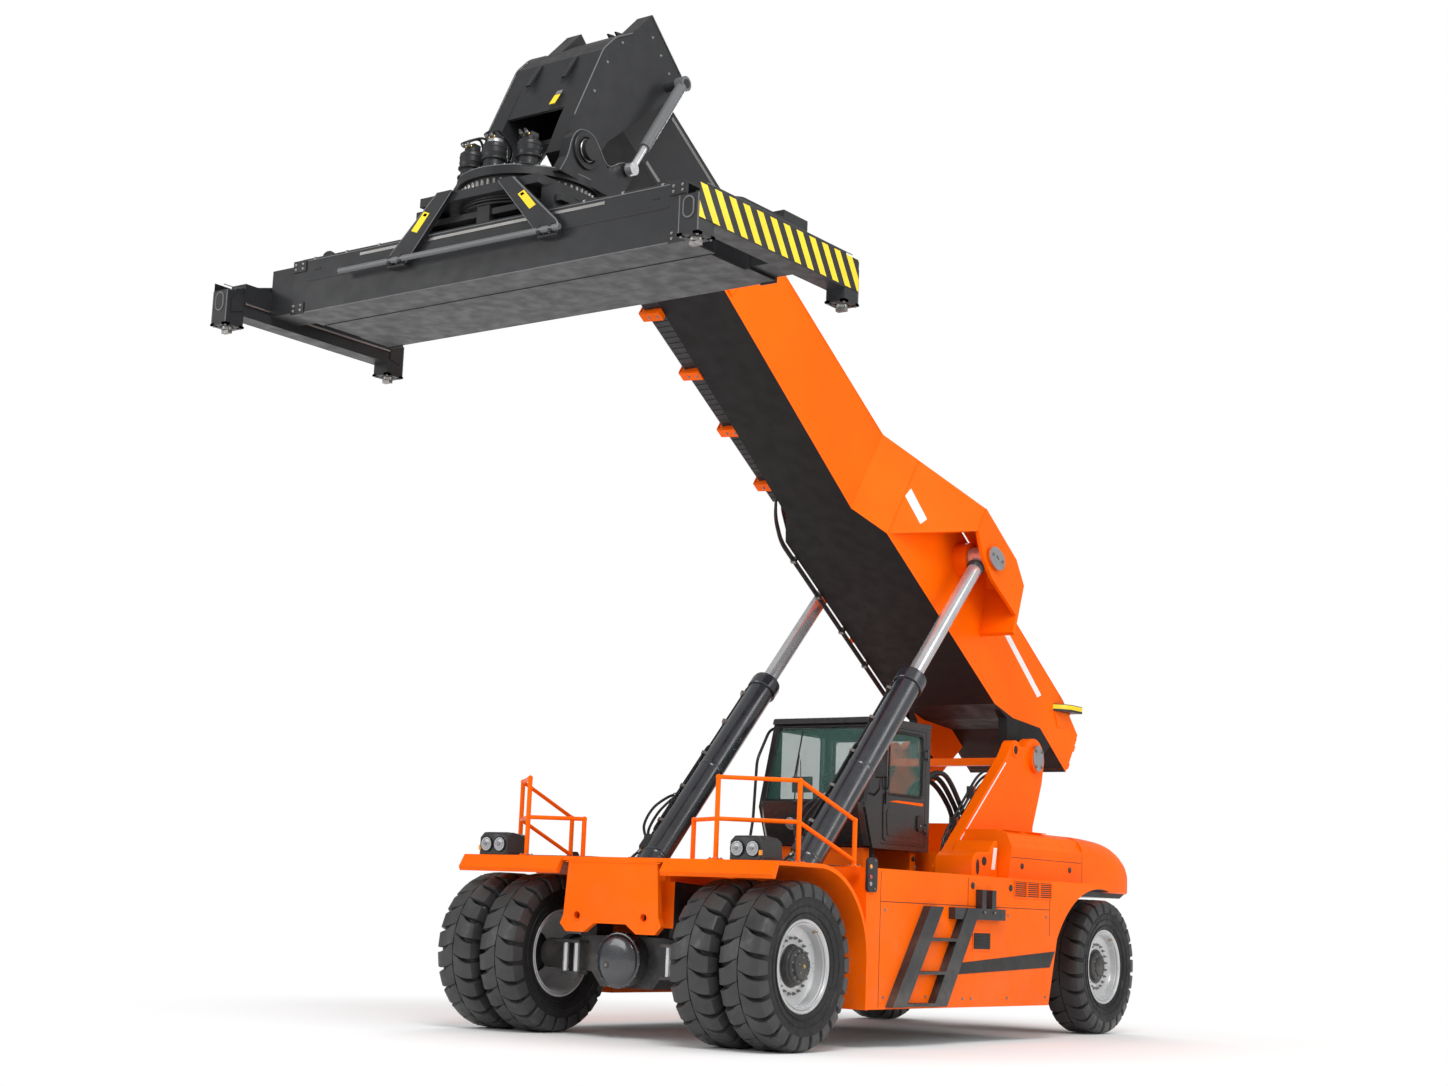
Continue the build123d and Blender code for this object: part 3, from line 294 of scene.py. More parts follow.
# The CAD nodes by material; a pair stands for the left and the right one. The rest is worn steel.
NODE_MATERIAL = {
    "orange": "main_frame fender_* side_tank_* engine_hood counterweight boom_tower handrails outer_boom",
    "cast": "drive_axle steer_axle steer_knuckle_* engine_block",
    "black": "access_ladder",
    "cab": "cab_shell cab_door",
    "glass": "cab_glass door_glass",
    "trim": "control_console",
    "plastic": "headlamps hose_channel",
    "grey": "inner_boom boom_head tilt_yoke slew_rotator spreader_frame main_beam end_beam_*",
    "barrel": "lift_barrel_*",
    "chrome": "lift_rod_* damper_rods",
    "light_grey_and_edge_highlight": "damper_barrels",
}
key_of = {}
for key, names in NODE_MATERIAL.items():
    for name in names.split():
        for label, _ in SIDES:
            key_of[name.replace("*", label)] = key
for name, node in nodes.items():
    node.data.materials.clear()
    node.data.materials.append(M[key_of.get(name, "steel")])


# The boom's belly and the frame below deck level are dark; the sides keep the body colour.
def under_tank(p, n):
    return n.z < -0.9 or abs(p.x) < 1.22


for name, other, test in (
    ("outer_boom", "underside", lambda p, n: n.dot(OVER) < -0.55 and abs(p.x) < 0.72),
    ("main_frame", "black", lambda p, n: p.z < 1.5 and p.y > FRONT_M - 0.30),
    ("side_tank_left", "black", under_tank),
    ("side_tank_right", "black", under_tank),
):
    mesh = nodes[name].data
    mesh.materials.append(M[other])
    for face in mesh.polygons:
        if test(face.center, face.normal):
            face.material_index = 1

# ---------------------------------------------------------------- shape helpers


class Piece:
    """Solids gathered in one mesh, given in millimetres in a local frame and stored in the row frame."""

    def __init__(self, local, key=None):
        self.bm = bmesh.new()
        self.local = local
        self.materials = []
        if key:
            self.use(key)

    def use(self, key):
        """What is added next takes this material."""
        if key not in self.materials:
            self.materials.append(key)
        self.index = self.materials.index(key)
        return self

    def loops(self, rings, wrap=False):
        """A skin over rings of as many points each, closed at its ends or wrapped round to the first ring."""
        rows = [[self.bm.verts.new(self.local @ Vector(p)) for p in ring] for ring in rings]
        count = len(rows[0])
        for a, b in list(zip(rows, rows[1:])) + ([(rows[-1], rows[0])] if wrap else []):
            for i in range(count):
                j = (i + 1) % count
                self.bm.faces.new((a[i], a[j], b[j], b[i])).material_index = self.index
        if not wrap:
            for row in (rows[0], rows[-1]):
                self.bm.faces.new(row).material_index = self.index
        return self

    def box(self, corner, opposite):
        (x0, x1), (y0, y1), (z0, z1) = (sorted(pair) for pair in zip(corner, opposite))
        return self.loops([[(x0, y0, z), (x1, y0, z), (x1, y1, z), (x0, y1, z)] for z in (z0, z1)])

    def prism(self, axis, a, b, outline):
        """An outline across one axis, between two places along it."""
        place = {
            "x": lambda t, p, q: (t, p, q),
            "y": lambda t, p, q: (p, t, q),
        }[axis]
        return self.loops([[place(t, p, q) for p, q in outline] for t in sorted((a, b))])

    def lathe(self, origin, way, profile, steps=40, ring=False):
        """A profile of (along, radius) turned about an axis. A ring has no ends: its profile is closed."""
        axis = Vector(way).normalized()
        side = axis.orthogonal().normalized()
        other = axis.cross(side)
        spokes = [side * c + other * d for c, d in circle(steps)]
        return self.loops([[Vector(origin) + axis * along + spoke * max(radius, 0.4) for spoke in spokes]
                           for along, radius in profile], ring)

    def rod(self, a, b, radius, steps=20):
        edge = min(radius * 0.2, 6)
        way = Vector(b) - Vector(a)
        return self.lathe(a, way, ((0, radius - edge), (edge, radius), (way.length - edge, radius),
                                   (way.length, radius - edge)), steps)

    def bolt(self, at, way, radius=17, height=13):
        """Washer and hexagon head standing on a face."""
        self.lathe(at, way, ((-4, radius * 1.35), (4, radius * 1.35), (5, radius * 1.2)), 14)
        return self.lathe(at, way, ((3, radius), (height, radius), (height + 3, radius * 0.8)), 6)

    def bolts(self, places, way, radius, height):
        """Zinc-plated bolts, all the same way round."""
        self.use("zinc")
        for at in places:
            self.bolt(at, way, radius, height)
        return self

    def bolt_ring(self, centre, way, radius, count, size):
        axis = Vector(way).normalized()
        side = axis.orthogonal().normalized()
        for c, d in circle(count):
            self.bolt(Vector(centre) + (side * c + axis.cross(side) * d) * radius, axis, size, size * 0.8)
        return self

    def tube(self, points, radius, steps=12, round_by=0):
        """A pipe through points, with its corners rounded by arcs of about round_by."""
        path = smooth_path([Vector(p) for p in points], round_by)
        rings = []
        side = None
        for k, p in enumerate(path):
            way = (path[min(k + 1, len(path) - 1)] - path[max(k - 1, 0)]).normalized()
            side = side or way.orthogonal()
            side = (side - way * side.dot(way)).normalized()
            rings.append([p + (side * c + way.cross(side) * d) * radius for c, d in circle(steps)])
        return self.loops(rings)

    def finish(self, name, rides_on, slot, bevel=0.0, sharp=32, segments=2):
        bmesh.ops.recalc_face_normals(self.bm, faces=self.bm.faces)
        mesh = bpy.data.meshes.new(name)
        self.bm.to_mesh(mesh)
        self.bm.free()
        for key in self.materials:
            mesh.materials.append(M[key])
        obj = bpy.data.objects.new(name, mesh)
        bpy.context.scene.collection.objects.link(obj)
        mesh.shade_smooth()
        mesh.set_sharp_from_angle(angle=math.radians(sharp))
        if bevel:
            edge = obj.modifiers.new("edge", "BEVEL")
            edge.width = bevel / 1000
            edge.segments = segments
            edge.limit_method = "ANGLE"
            edge.angle_limit = math.radians(38)
            edge.harden_normals = True
        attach(obj, rides_on)
        return obj


def arc(start, middle, end, steps):
    """A quadratic curve from start to end, pulled towards the middle."""
    shares = [k / (steps - 1) for k in range(steps)]
    return [start * (1 - t) ** 2 + middle * 2 * t * (1 - t) + end * t ** 2 for t in shares]


def smooth_path(points, round_by):
    if not round_by:
        return points
    path = points[:1]
    for a, b, c in zip(points, points[1:], points[2:]):
        into = min(round_by, (b - a).length * 0.48)
        out = min(round_by, (c - b).length * 0.48)
        path += arc(b + (a - b).normalized() * into, b, b + (c - b).normalized() * out, 7)
    return path + points[-1:]


def smooth_loop(points):
    """A closed outline with its corners rounded."""
    corners = [Vector(p) for p in points]
    rounded = []
    for a, b, c in zip(corners[-1:] + corners[:-1], corners, corners[1:] + corners[:1]):
        rounded += arc(b + (a - b) * 0.45, b, b + (c - b) * 0.45, 5)
    return [tuple(p) for p in rounded]


def hoses(name, rides_on, local, routes, radius):
    """Rubber lines on smooth curves, one piece, with a crimped steel end on each."""
    piece = Piece(MM, "hose")
    for route in routes:
        points = [MM.inverted() @ local @ Vector(p) for p in route]
        ends = [points[0] * 2 - points[1]] + points + [points[-1] * 2 - points[-2]]
        fine = []
        for a, b, c, d in zip(ends, ends[1:], ends[2:], ends[3:]):
            for t in (0, 1 / 6, 2 / 6, 3 / 6, 4 / 6, 5 / 6):
                fine.append(0.5 * ((2 * b) + (c - a) * t + (2 * a - 5 * b + 4 * c - d) * t ** 2
                                   + (3 * b - a - 3 * c + d) * t ** 3))
        fine.append(points[-1])
        piece.use("hose").tube(fine, radius, 10)
        piece.use("zinc")
        for at, inward in ((fine[0], fine[1] - fine[0]), (fine[-1], fine[-2] - fine[-1])):
            piece.lathe(at, inward, ((-4, radius * 1.2), (0, radius * 1.45), (radius * 2.6, radius * 1.45),
                                     (radius * 3.2, radius * 1.1)), 12)
    return piece.finish(name, rides_on, "black_plastic")


# ---------------------------------------------------------------- wheels

# Tyre shapes as (across from the tyre's middle, radius); lugs stand between their base and top points.
CARCASS = ((0, 748), (90, 746), (165, 738), (203, 722), (226, 692), (239, 655), (245, 615), (242, 600),
           (242.5, 585), (238, 540), (226, 490), (215, 468), (214, 455), (200, 440), (190, 418))
LUG_BASE = ((4, 740), (55, 740), (110, 740), (160, 732), (198, 712), (220, 682), (232, 642))
LUG_TOP = ((6, 797), (55, 800), (110, 800), (172, 797), (222, 772), (246, 710), (248.5, 655))
LUG_SHIFT = (-0.6, 0.9, 3.2, 4.4, 4.7, 4.8, 4.8)
LUG_WIDTH = (1.03, 1.00, 0.87, 0.80, 0.77, 0.75, 0.71)
LUGS = 24


def tyre_mesh(piece, x, run):
    centre = Vector((x, run, HUB_Z))
    profile = [(150, 405), *reversed(CARCASS), *((-a, r) for a, r in CARCASS[1:]), (-150, 405)]
    # Carcass in the darker rubber: painted shade between the lugs.
    piece.use("tyre").lathe(centre, RIGHT, profile, 84, ring=True)

    def place(across, radius, degrees):
        turn = math.radians(degrees)
        return centre + Vector((across, -math.cos(turn) * radius, math.sin(turn) * radius))

    pitch = 360.0 / LUGS
    # Lugs in the lighter rubber: a painted sheen on their faces.
    piece.use("lug_painted_sheen")
    for side in (1, -1):
        for k in range(LUGS):
            middle = (k + side * 0.25) * pitch
            rings = []
            for (bx, br), (tx, tr), lag, width in zip(LUG_BASE, LUG_TOP, LUG_SHIFT, LUG_WIDTH):
                turn = middle - lag
                w = width * pitch / 2
                hx, hr = tx + (bx - tx) * 0.22, tr + (br - tr) * 0.22
                half = ((bx, br, w * 1.04), (hx, hr, w), (tx, tr, w * 0.93))
                rings.append([place(side * a, r, turn - t) for a, r, t in half]
                             + [place(side * a, r, turn + t) for a, r, t in reversed(half)])
            piece.loops(rings)
    # A raised ring and small ribs give the sidewall its moulded look.
    piece.use("tyre")
    for side in (1, -1):
        for rib in (((238, 572), (246.5, 568), (246.5, 562), (238, 558)),
                    ((222, 502), (236, 497), (236, 491), (222, 486))):
            piece.lathe(centre, (side, 0, 0), rib, 84, ring=True)


def rim_mesh(piece, x, run, s, disc, nuts):
    centre = Vector((x, run, HUB_Z))
    outward = (s, 0, 0)
    piece.use("silver").lathe(centre, outward, (
        (188, 448), (200, 446), (208, 437), (208, 424), (200, 414), (190, 409), (186, 399), (176, 396),
        (172, 388), (158, 384), (disc + 58, 378), (disc + 44, 372), (disc + 40, 352), (disc + 34, 340),
        (disc + 33, 305), (disc + 26, 290), (disc + 26, 225), (disc + 30, 205), (disc + 10, 205),
        (disc - 4, 300), (disc - 10, 355), (disc - 50, 368), (-165, 380), (-186, 396), (-190, 409),
        (-200, 414), (-208, 424), (-208, 437), (-200, 446), (-188, 448), (-182, 417), (0, 412), (182, 417)),
        72, ring=True)
    for side in (1, -1):
        piece.lathe(centre, (s * side, 0, 0), ((176, 404), (196, 404), (199, 400), (196, 394), (176, 394)),
                    72, ring=True)
    if nuts:
        for c, d in circle(20, 0.5):
            at = shift(centre, s * (disc + 26), c * 262, d * 262)
            piece.use("zinc").bolt(at, outward, 13.5, 22)
            piece.lathe(shift(at, s * 18), outward, ((0, 8), (16, 8), (18, 6)), 10)
    # Charging valve, clipped beside the rim barrel.
    piece.use("brass").rod(shift(centre, s * 160, 200, 315), shift(centre, s * 215, 208, 325), 7, 10)


for label, s in SIDES:
    out = (s, 0, 0)
    wheels = "front_wheels_" + label
    tyres = Piece(PLAN)
    for x in (OUTER_DUAL, INNER_DUAL):
        tyre_mesh(tyres, s * x, 0)
    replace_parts(tyres.finish("front_tyre_pair_" + label, wheels, "tyre_rubber", sharp=34),
                "front_tyres_" + label)
    rims = Piece(PLAN)
    rim_mesh(rims, s * OUTER_DUAL, 0, s, 40, True)
    rim_mesh(rims, s * INNER_DUAL, 0, s, 120, False)
    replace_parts(rims.finish("front_rim_pair_" + label, wheels, "silver_paint", sharp=36),
                "front_rims_" + label)
    hub = Piece(PLAN, "cast")
    centre = (s * OUTER_DUAL, 0, HUB_Z)
    hub.lathe(centre, out, (
        (-400, 182), (-400, 232), (-385, 236), (-380, 190), (-20, 190), (30, 206), (62, 208), (70, 200),
        (74, 186), (130, 182), (138, 176), (140, 166), (158, 164), (170, 152), (172, 128), (196, 124),
        (206, 112), (212, 70), (213.5, 0)), 56)
    hub.use("zinc").bolt_ring(shift(centre, s * 172), out, 140, 12, 9.5)
    hub.bolt_ring(shift(centre, s * 212), out, 85, 6, 8)
    hub.use("brass").bolt(shift(centre, s * 213), out, 14, 10)
    hub.finish("planet_hub_" + label, wheels, "cast_metal", sharp=30)

    wheel = "rear_wheel_" + label
    tyre = Piece(PLAN)
    tyre_mesh(tyre, s * REAR_WHEEL, WHEELBASE)
    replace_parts(tyre.finish("rear_tyre_tread_" + label, wheel, "tyre_rubber", sharp=34), "rear_tyre_" + label)
    rim = Piece(PLAN)
    rim_mesh(rim, s * REAR_WHEEL, WHEELBASE, s, 60, True)
    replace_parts(rim.finish("rear_rim_dish_" + label, wheel, "silver_paint", sharp=36), "rear_rim_" + label)
    hub = Piece(PLAN, "cast")
    centre = (s * REAR_WHEEL, WHEELBASE, HUB_Z)
    hub.lathe(centre, out, ((-70, 150), (-70, 176), (50, 180), (75, 206), (92, 206), (96, 176), (120, 172),
                            (132, 160), (136, 110), (150, 105), (158, 90), (160, 0)), 48)
    hub.use("zinc").bolt_ring(shift(centre, s * 134), out, 132, 10, 9.5)
    hub.finish("rear_hub_" + label, wheel, "cast_metal", sharp=30)

# ---------------------------------------------------------------- front of the chassis

axle = Piece(PLAN, "barrel")
axle.lathe((0, -300, 770), FORWARD, ((0, 274), (26, 274), (34, 266), (36, 254), (50, 248), (66, 232),
                                     (80, 195), (90, 140), (95, 75), (97, 0)), 60)
axle.use("cast").lathe((-90, -385, 720), FORWARD, ((0, 34), (12, 34), (16, 28), (17, 0)), 20)
axle.use("zinc").bolt((-90, -400, 720), FORWARD, 12, 10)
axle.bolt_ring((0, -322, 770), FORWARD, 262, 14, 11)
axle.finish("axle_cover", "chassis", "cast_metal", sharp=30)

links = Piece(PLAN)
for x in (-720, -580, 580, 720):
    links.use("chrome").rod((x, -260, 625), (x, -260, 925), 31.5, 24)
    links.use("castpin")
    for z, way in ((622, DOWN), (928, UP)):
        links.lathe((x, -260, z), way, ((-12, 36), (4, 36), (6, 30), (16, 30), (18, 24)), 6)
links.finish("axle_clamp_studs", "chassis", "bare_steel", sharp=30)

nose = Piece(PLAN, "orange")
for x in (-420, 420):
    nose.lathe((x, -478, 1190), FORWARD, ((0, 40), (0, 56), (6, 56), (8, 52), (8, 40)), 28, ring=True)
nose.box((-600, -485, 1712), (600, -478, 1724))
nose.finish("front_plate_rings", "chassis", "orange_paint", 2)

strips = Piece(PLAN, "grip")
for x0, x1 in ((-1160, -300), (180, 400)):
    strips.box((x0, -460, DECK_TOP - 12), (x1, -270, DECK_TOP + 6))
for s in (-1, 1):
    strips.box((s * 1240, -70, DECK_TOP), (s * 1740, 980, DECK_TOP + 6))
strips.finish("deck_grip_strips", "chassis", "black_plastic", 2)

for label, s in SIDES:
    lamp = Piece(PLAN, "plastic")
    pod_x, low, cut = s * 1600, 1772, 52
    pod = []
    for run, half, high in ((-140, 190, 1989), (-400, 196, 2003), (-458, 190, 1997), (-470, 176, 1983)):
        pod.append([(pod_x + a, run, z) for a, z in (
            (-half, low + 20), (-half, high - cut), (-half + cut, high), (half - cut, high),
            (half, high - cut), (half, low + 20), (half - 30, low), (-half + 30, low))])
    lamp.loops(pod)
    for dx in (-95, 85):
        at = (pod_x + s * dx, -474, 1878)
        lamp.use("seal").lathe(at, FORWARD, ((-20, 70), (6, 80), (14, 79), (14, 68), (0, 64)), 36, ring=True)
        lamp.use("chrome").lathe(at, FORWARD, ((-12, 0), (-10, 25), (-4, 48), (6, 66), (12, 70), (12, 62),
                                               (0, 45), (-6, 20), (-8, 0)), 36)
        lamp.use("lamp_glass").lathe(at, FORWARD, ((6, 67), (12, 60), (17, 40), (19, 0)), 36)
        lamp.use("zinc").lathe(at, FORWARD, ((10, 16), (26, 16), (30, 10), (31, 0)), 20)
    lamp.use("amber").box((pod_x + s * 158, -484, 1815), (pod_x + s * 188, -360, 1865))
    lamp.finish("headlamp_pod_" + label, "chassis", "black_plastic", 4)

feet = Piece(PLAN)
for s, (x, run) in product((-1, 1), ((1200, -400), (1780, 150), (1840, 1060))):
    at = (s * x, run, DECK_TOP)
    feet.use("orange").box(shift(at, -55, -55), shift(at, 55, 55, 10))
    feet.bolts([shift(at, dx, dy, 10) for dx, dy in product((-38, 38), repeat=2)], UP, 8.5, 8)
    feet.use("orange").lathe(at, UP, ((8, 36), (16, 32), (22, 26)), 20)
feet.finish("handrail_feet", "chassis", "orange_paint", 1.5)

# ---------------------------------------------------------------- side panels, hood and tail

for label, s in SIDES:
    x, out = s * PANEL_X, (s, 0, 0)
    panel = Piece(PLAN, "black_mark_and_painted_shade")
    panel.prism("x", x - s * 4, x + s * 3.5, [(2910, 720), (5100, 800), (5220, 980), (3000, 840)])
    for run0, run1, z0, z1 in ((1430, 1436, 400, 1740), (5086, 5092, 1150, 1740), (3200, 3206, 1440, 1740),
                               (1430, 5090, 1440, 1446)):
        panel.box((x, run0, z0), (x + s * 2.2, run1, z1))
    panel.finish("side_markings_" + label, "chassis", "black_paint")

    vents = Piece(PLAN)
    for run in (4240, 4540, 4840):
        vents.use("orange")
        for z in (1738, 1560):
            vents.box((x, run - 12, z), (x + s * 12, run + 282, z + 14))
        for edge in (run - 12, run + 270):
            vents.box((x, edge, 1574), (x + s * 12, edge + 12, 1738))
        # Black sheet behind the slats: painted shade of the vent's inside.
        vents.use("black_mark_and_painted_shade").box((x, run, 1574), (x + s * 2, run + 270, 1738))
        vents.use("orange_dull")
        for z in [1585 + 22.5 * row for row in range(7)]:
            slat = [(x + s * dx, z + dz) for dx, dz in ((1, 0), (11, 4), (12, 8), (1, 13))]
            vents.prism("y", run + 4, run + 266, slat)
    vents.use("orange").box((x, 3310, 970), (x + s * 8, 3710, 1180))
    # Black sheet behind the grille's slats: painted shade of its inside.
    vents.use("black_mark_and_painted_shade").box((x, 3330, 990), (x + s * 10, 3690, 1160))
    vents.use("plastic")
    for z in range(1000, 1160, 27):
        vents.prism("y", 3335, 3685, [(x + s * 8, z), (x + s * 18, z + 4), (x + s * 18, z + 8),
                                      (x + s * 8, z + 18)])
    vents.finish("side_vents_" + label, "chassis", "orange_paint", 1.2)

    fixings = Piece(PLAN, "zinc")
    for run in (1520, 2350, 3120, 3300, 4100, 5000):
        # The lower row steps down under the black stripe.
        for z in (470 if run > 2910 else 500, 1360):
            fixings.bolt((x, run, z), out, 12, 9)
    for run in (3300, 4150):
        fixings.use("plastic").lathe((x, run, 1660), out, ((-2, 36), (8, 36), (12, 30), (12, 0)), 24)
        fixings.use("zinc").box((x, run - 4, 1635), (x + s * 18, run + 4, 1685))
    fixings.finish("side_fixings_" + label, "chassis", "bare_steel")

    side_lamp = Piece(PLAN, "plastic")
    side_lamp.prism("x", x - s * 2, x + s * 30, [(1140, 1560), (1170, 1530), (1300, 1530), (1320, 1560),
                                                 (1320, 1840), (1290, 1870), (1170, 1870), (1140, 1840)])
    for z, key in ((1780, "amber"), (1680, "red"), (1610, "lamp_glass")):
        side_lamp.use(key).lathe((x + s * 30, 1190, z), out, ((-4, 22), (6, 22), (10, 16), (12, 0)), 22)
    side_lamp.bolts([(x + s * 30, 1270, z) for z in (1840, 1560)], out, 9, 7)
    side_lamp.finish("side_lamp_plate_" + label, "chassis", "black_plastic", 4)

steps = Piece(PLAN, "steel")
for z, first, last in ((430, 1650, 2250), (750, 1880, 2490), (1090, 2130, 2750)):
    for k in range(7):
        run = first + k * (last - first) / 6
        steps.box((1936, run, z), (2014, run + 22, z + 10))
steps.bolts([(2020, run, 1380) for run in (3420, 3640)], RIGHT, 12, 9)
steps.finish("ladder_treads", "chassis", "bare_steel", 1.5)

# Rear hood and counterweight: one moulded shell, its corners growing rounder towards the tail. Each row gives
# run, half width, top, and the corner's radius across and up.
ARCH_R, ARCH_END = 965, 7373
SHELL = (
    (6629, 1560, 2340, 230, 200), (6800, 1560, 2339, 240, 210), (7000, 1560, 2336, 260, 230),
    (7200, 1560, 2331, 290, 250), (7371, 1560, 2325, 310, 270), (7550, 1559, 2315, 340, 300),
    (7700, 1554, 2300, 370, 320), (7850, 1540, 2272, 400, 340), (7960, 1518, 2240, 420, 340),
    (8050, 1485, 2198, 430, 320), (8120, 1440, 2152, 430, 290), (8180, 1380, 2096, 420, 250),
    (8220, 1310, 2044, 390, 210), (8248, 1220, 1994, 340, 160), (8260, 1120, 1950, 280, 110),
)
shell = Piece(PLAN, "orange")
rings = []
for run, half, top, rx, rz in SHELL:
    low = 1690 + max(0, run - 8080) * 0.86
    if run < ARCH_END:
        low = HUB_Z + math.sqrt(ARCH_R ** 2 - (run - WHEELBASE) ** 2)
    outline = [(half - 20, low), (half, low + 20), (half, (low + top - rz) / 2)]
    outline += [(half - rx + rx * c, top - rz + rz * d) for c, d in circle(40)[:11]]
    rings.append([(x, run, z) for x, z in outline] + [(-x, run, z) for x, z in reversed(outline)])
shell.loops(rings)
shell.use("orange_dull").box((-720, 7700, 1040), (720, 8020, 1720))
# Wheel housing that closes the shell underneath, clear of the tyres' tops at any steering angle; it is black as
# painted shade under the tail.
shell.use("black").prism("x", -1470, 1470, [(6640, 1700), (6780, 1632), (7860, 1632), (8020, 1700),
                                            (8020, 1800), (6640, 1800)])
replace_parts(shell.finish("hood_tail_shell", "chassis", "orange_paint", 6, sharp=26), "counterweight")

tail = Piece(PLAN)
for s in (-1, 1):
    tail.use("plastic").box((s * 720, 8245, 1862), (s * 1060, 8268, 1944))
    for x, key in ((780, "red"), (890, "lamp_glass"), (1000, "amber")):
        tail.use(key).lathe((s * x, 8268, 1903), BACK, ((-4, 34), (4, 34), (10, 26), (12, 0)), 26)
    tail.use("red").box((s * 1080, 8250, 1875), (s * 1120, 8262, 1930))
tail.use("plastic")
for z in [1862 + 13.5 * k for k in range(7)]:
    tail.prism("x", -550, 550, [(8255, z), (8267, z + 2), (8267, z + 6), (8255, z + 9)])
tail.use("cast").lathe((0, 8020, 1300), BACK, ((-10, 85), (20, 85), (26, 78), (26, 40), (90, 36), (100, 28),
                                               (100, 0)),
                       32)
tail.bolts([(x, 8020, z) for x, z in product((-600, 600), (1140, 1580))], BACK, 22, 18)
tail.finish("tail_lamps", "chassis", "black_plastic", 1.5)

hood = Piece(PLAN)
for s in (-1, 1):
    hood.use("black_mark_and_painted_shade").lathe((s * 1300, 4778, 2115), FORWARD, ((-10, 0), (10, 0), (10, 70), (14, 74),
                                                                   (14, 84), (0, 86)), 32)
    hood.use("plastic").box((s * 1060, 4700, 1920), (s * 1100, 4782, 2160))
    hood.use("orange_dull")
    for run, k in product((5020, 5560), range(9)):
        hood.box((s * 1050, run + 48 * k, HOOD_TOP - 2), (s * 1420, run + 48 * k + 26, HOOD_TOP + 7))
    hood.use("black_mark_and_painted_shade").box((s * 1556, 4840, 2020), (s * 1562, 6600, 2026))
    hood.box((s * 1556, 6625, 1790), (s * 1561.5, 6631, 2130))
    hood.use("plastic")
    for run in (5100, 6300):
        hood.lathe((s * HOOD_HALF, run, 1930), (s, 0, 0), ((-4, 34), (8, 34), (12, 28), (12, 0)), 24)
hood.finish("hood_fittings", "chassis", "black_plastic", 1.5)

# ---------------------------------------------------------------- boom tower

tower = Piece(PLAN)
for s in (-1, 1):
    face, out = s * TOWER_X, (s, 0, 0)
    tower.use("white").prism("x", face - s * 2, face + s * 3.6, [(4794, 2217), (4806, 2203), (5876, 3183),
                                                                 (5864, 3197)])
    tower.use("orange").lathe((face, 6100, 3360), out, ((0, 55), (0, 85), (10, 85), (14, 80), (14, 55)), 32,
                              ring=True)
    # Black disc in the ring's hole: painted shade.
    tower.use("black_mark_and_painted_shade").lathe((face, 6100, 3360), out, ((-20, 0), (2, 54), (3, 0)), 24)
    # Pin retaining plate: an egg shape, wide at the pin.
    cover = [(6600 + c * (130 + 20 * d), 3270 + d * (135 + 55 * max(0, d) ** 2)) for c, d in circle(36)]
    tower.use("castpin").prism("x", s * 950, s * 974, cover)
    tower.bolts([(s * 974, run, z)
                 for run, z in ((6520, 3380), (6680, 3380), (6530, 3190), (6670, 3190))], out, 16, 14)
    for run in (4560, 4720, 6300, 6460):
        tower.bolt((face, run, 1950), out, 17, 14)
tower.finish("tower_plates", "chassis", "bare_steel", 3)

hoses("tower_service_hoses", "chassis", PLAN, [[
    (300 + 90 * k, 4470, 1800), (300 + 90 * k, 4500, 2300 + 30 * k), (320 + 100 * k, 4640, 2780 + 50 * k),
    (400 + 100 * k, 4920, 2900 + 40 * k), (460 + 90 * k, 5200, 2700), (500 + 80 * k, 5340, 2400),
    (500 + 80 * k, 5360, 1760)] for k in range(3)], 30)

housing = Piece(PLAN, "orange")
openings = Piece(PLAN)
for s in (-1, 1):
    # The front half stays under the sweep of the open cab door.
    housing.prism("x", s * 1430, s * 905, [(4200, 1765), (4200, 1930), (4235, 2010), (4320, 2060),
                                           (4580, 2068), (4650, 2150), (4710, 2200), (4775, 2210),
                                           (4775, 1765)])
    x = s * 1430
    # Black ovals stand for the boxes' openings: painted shade of their insides.
    openings.use("black_mark_and_painted_shade")
    for run, z, ry, rz in ((4290, 1890, 32, 85), (4440, 1960, 50, 50)):
        openings.prism("x", x - s * 10, x + s * 6, [(run + c * ry, z + d * rz) for c, d in circle(28)])
    openings.use("white").prism("x", x - s * 4, x + s * 3, [(4610, 1870), (4690, 1870), (4740, 2120),
                                                            (4660, 2120)])
housing.finish("tower_side_boxes", "chassis", "orange_paint", 35, segments=4)
openings.finish("tower_box_openings", "chassis", "black_plastic", 3)

for label, s in SIDES:
    pipes = Piece(PLAN, "black")
    for k in range(3):
        x, dz = s * (735 - 18 * k), 55 * k
        pipes.tube([(x, 4620, 1620), (x, 4780, 2150 + dz), (x, 5550, 2900 + dz), (x, 5950, 3060 + dz)], 16,
                   12, 140)
    pipes.use("steel")
    for run, z in ((4950, 2380), (5350, 2770)):
        pipes.box((s * 782, run - 20, z - 50), (s * 680, run + 20, z + 100))
    pipes.finish("tower_pipes_" + label, "chassis", "black_paint")

# ---------------------------------------------------------------- cab


def pane(origin, across, out):
    """A pane's own frame: across, up and out."""
    return frame_matrix(PLAN @ Vector(origin), across, Vector(out).cross(across), out) @ MM


def gasket(piece, local, half_a, half_b, radius, round_by=60):
    """A rounded seal ring about a pane."""
    corners = [Vector((a * half_a, b * half_b, 0)) for a, b in ((-1, -1), (1, -1), (1, 1), (-1, 1))]
    path = []
    for before, mid, after in zip(corners[-1:] + corners[:-1], corners, corners[1:] + corners[:1]):
        path += arc(mid + (before - mid).normalized() * round_by, mid,
                    mid + (after - mid).normalized() * round_by, 7)
    rings = []
    for k, p in enumerate(path):
        side = Vector(UP).cross((path[(k + 1) % len(path)] - path[k - 1]).normalized())
        rings.append([p + side * (c * radius) + Vector((0, 0, d * radius * 0.6)) for c, d in circle(8)])
    piece.local, kept = local, piece.local
    piece.loops(rings, wrap=True)
    piece.local = kept


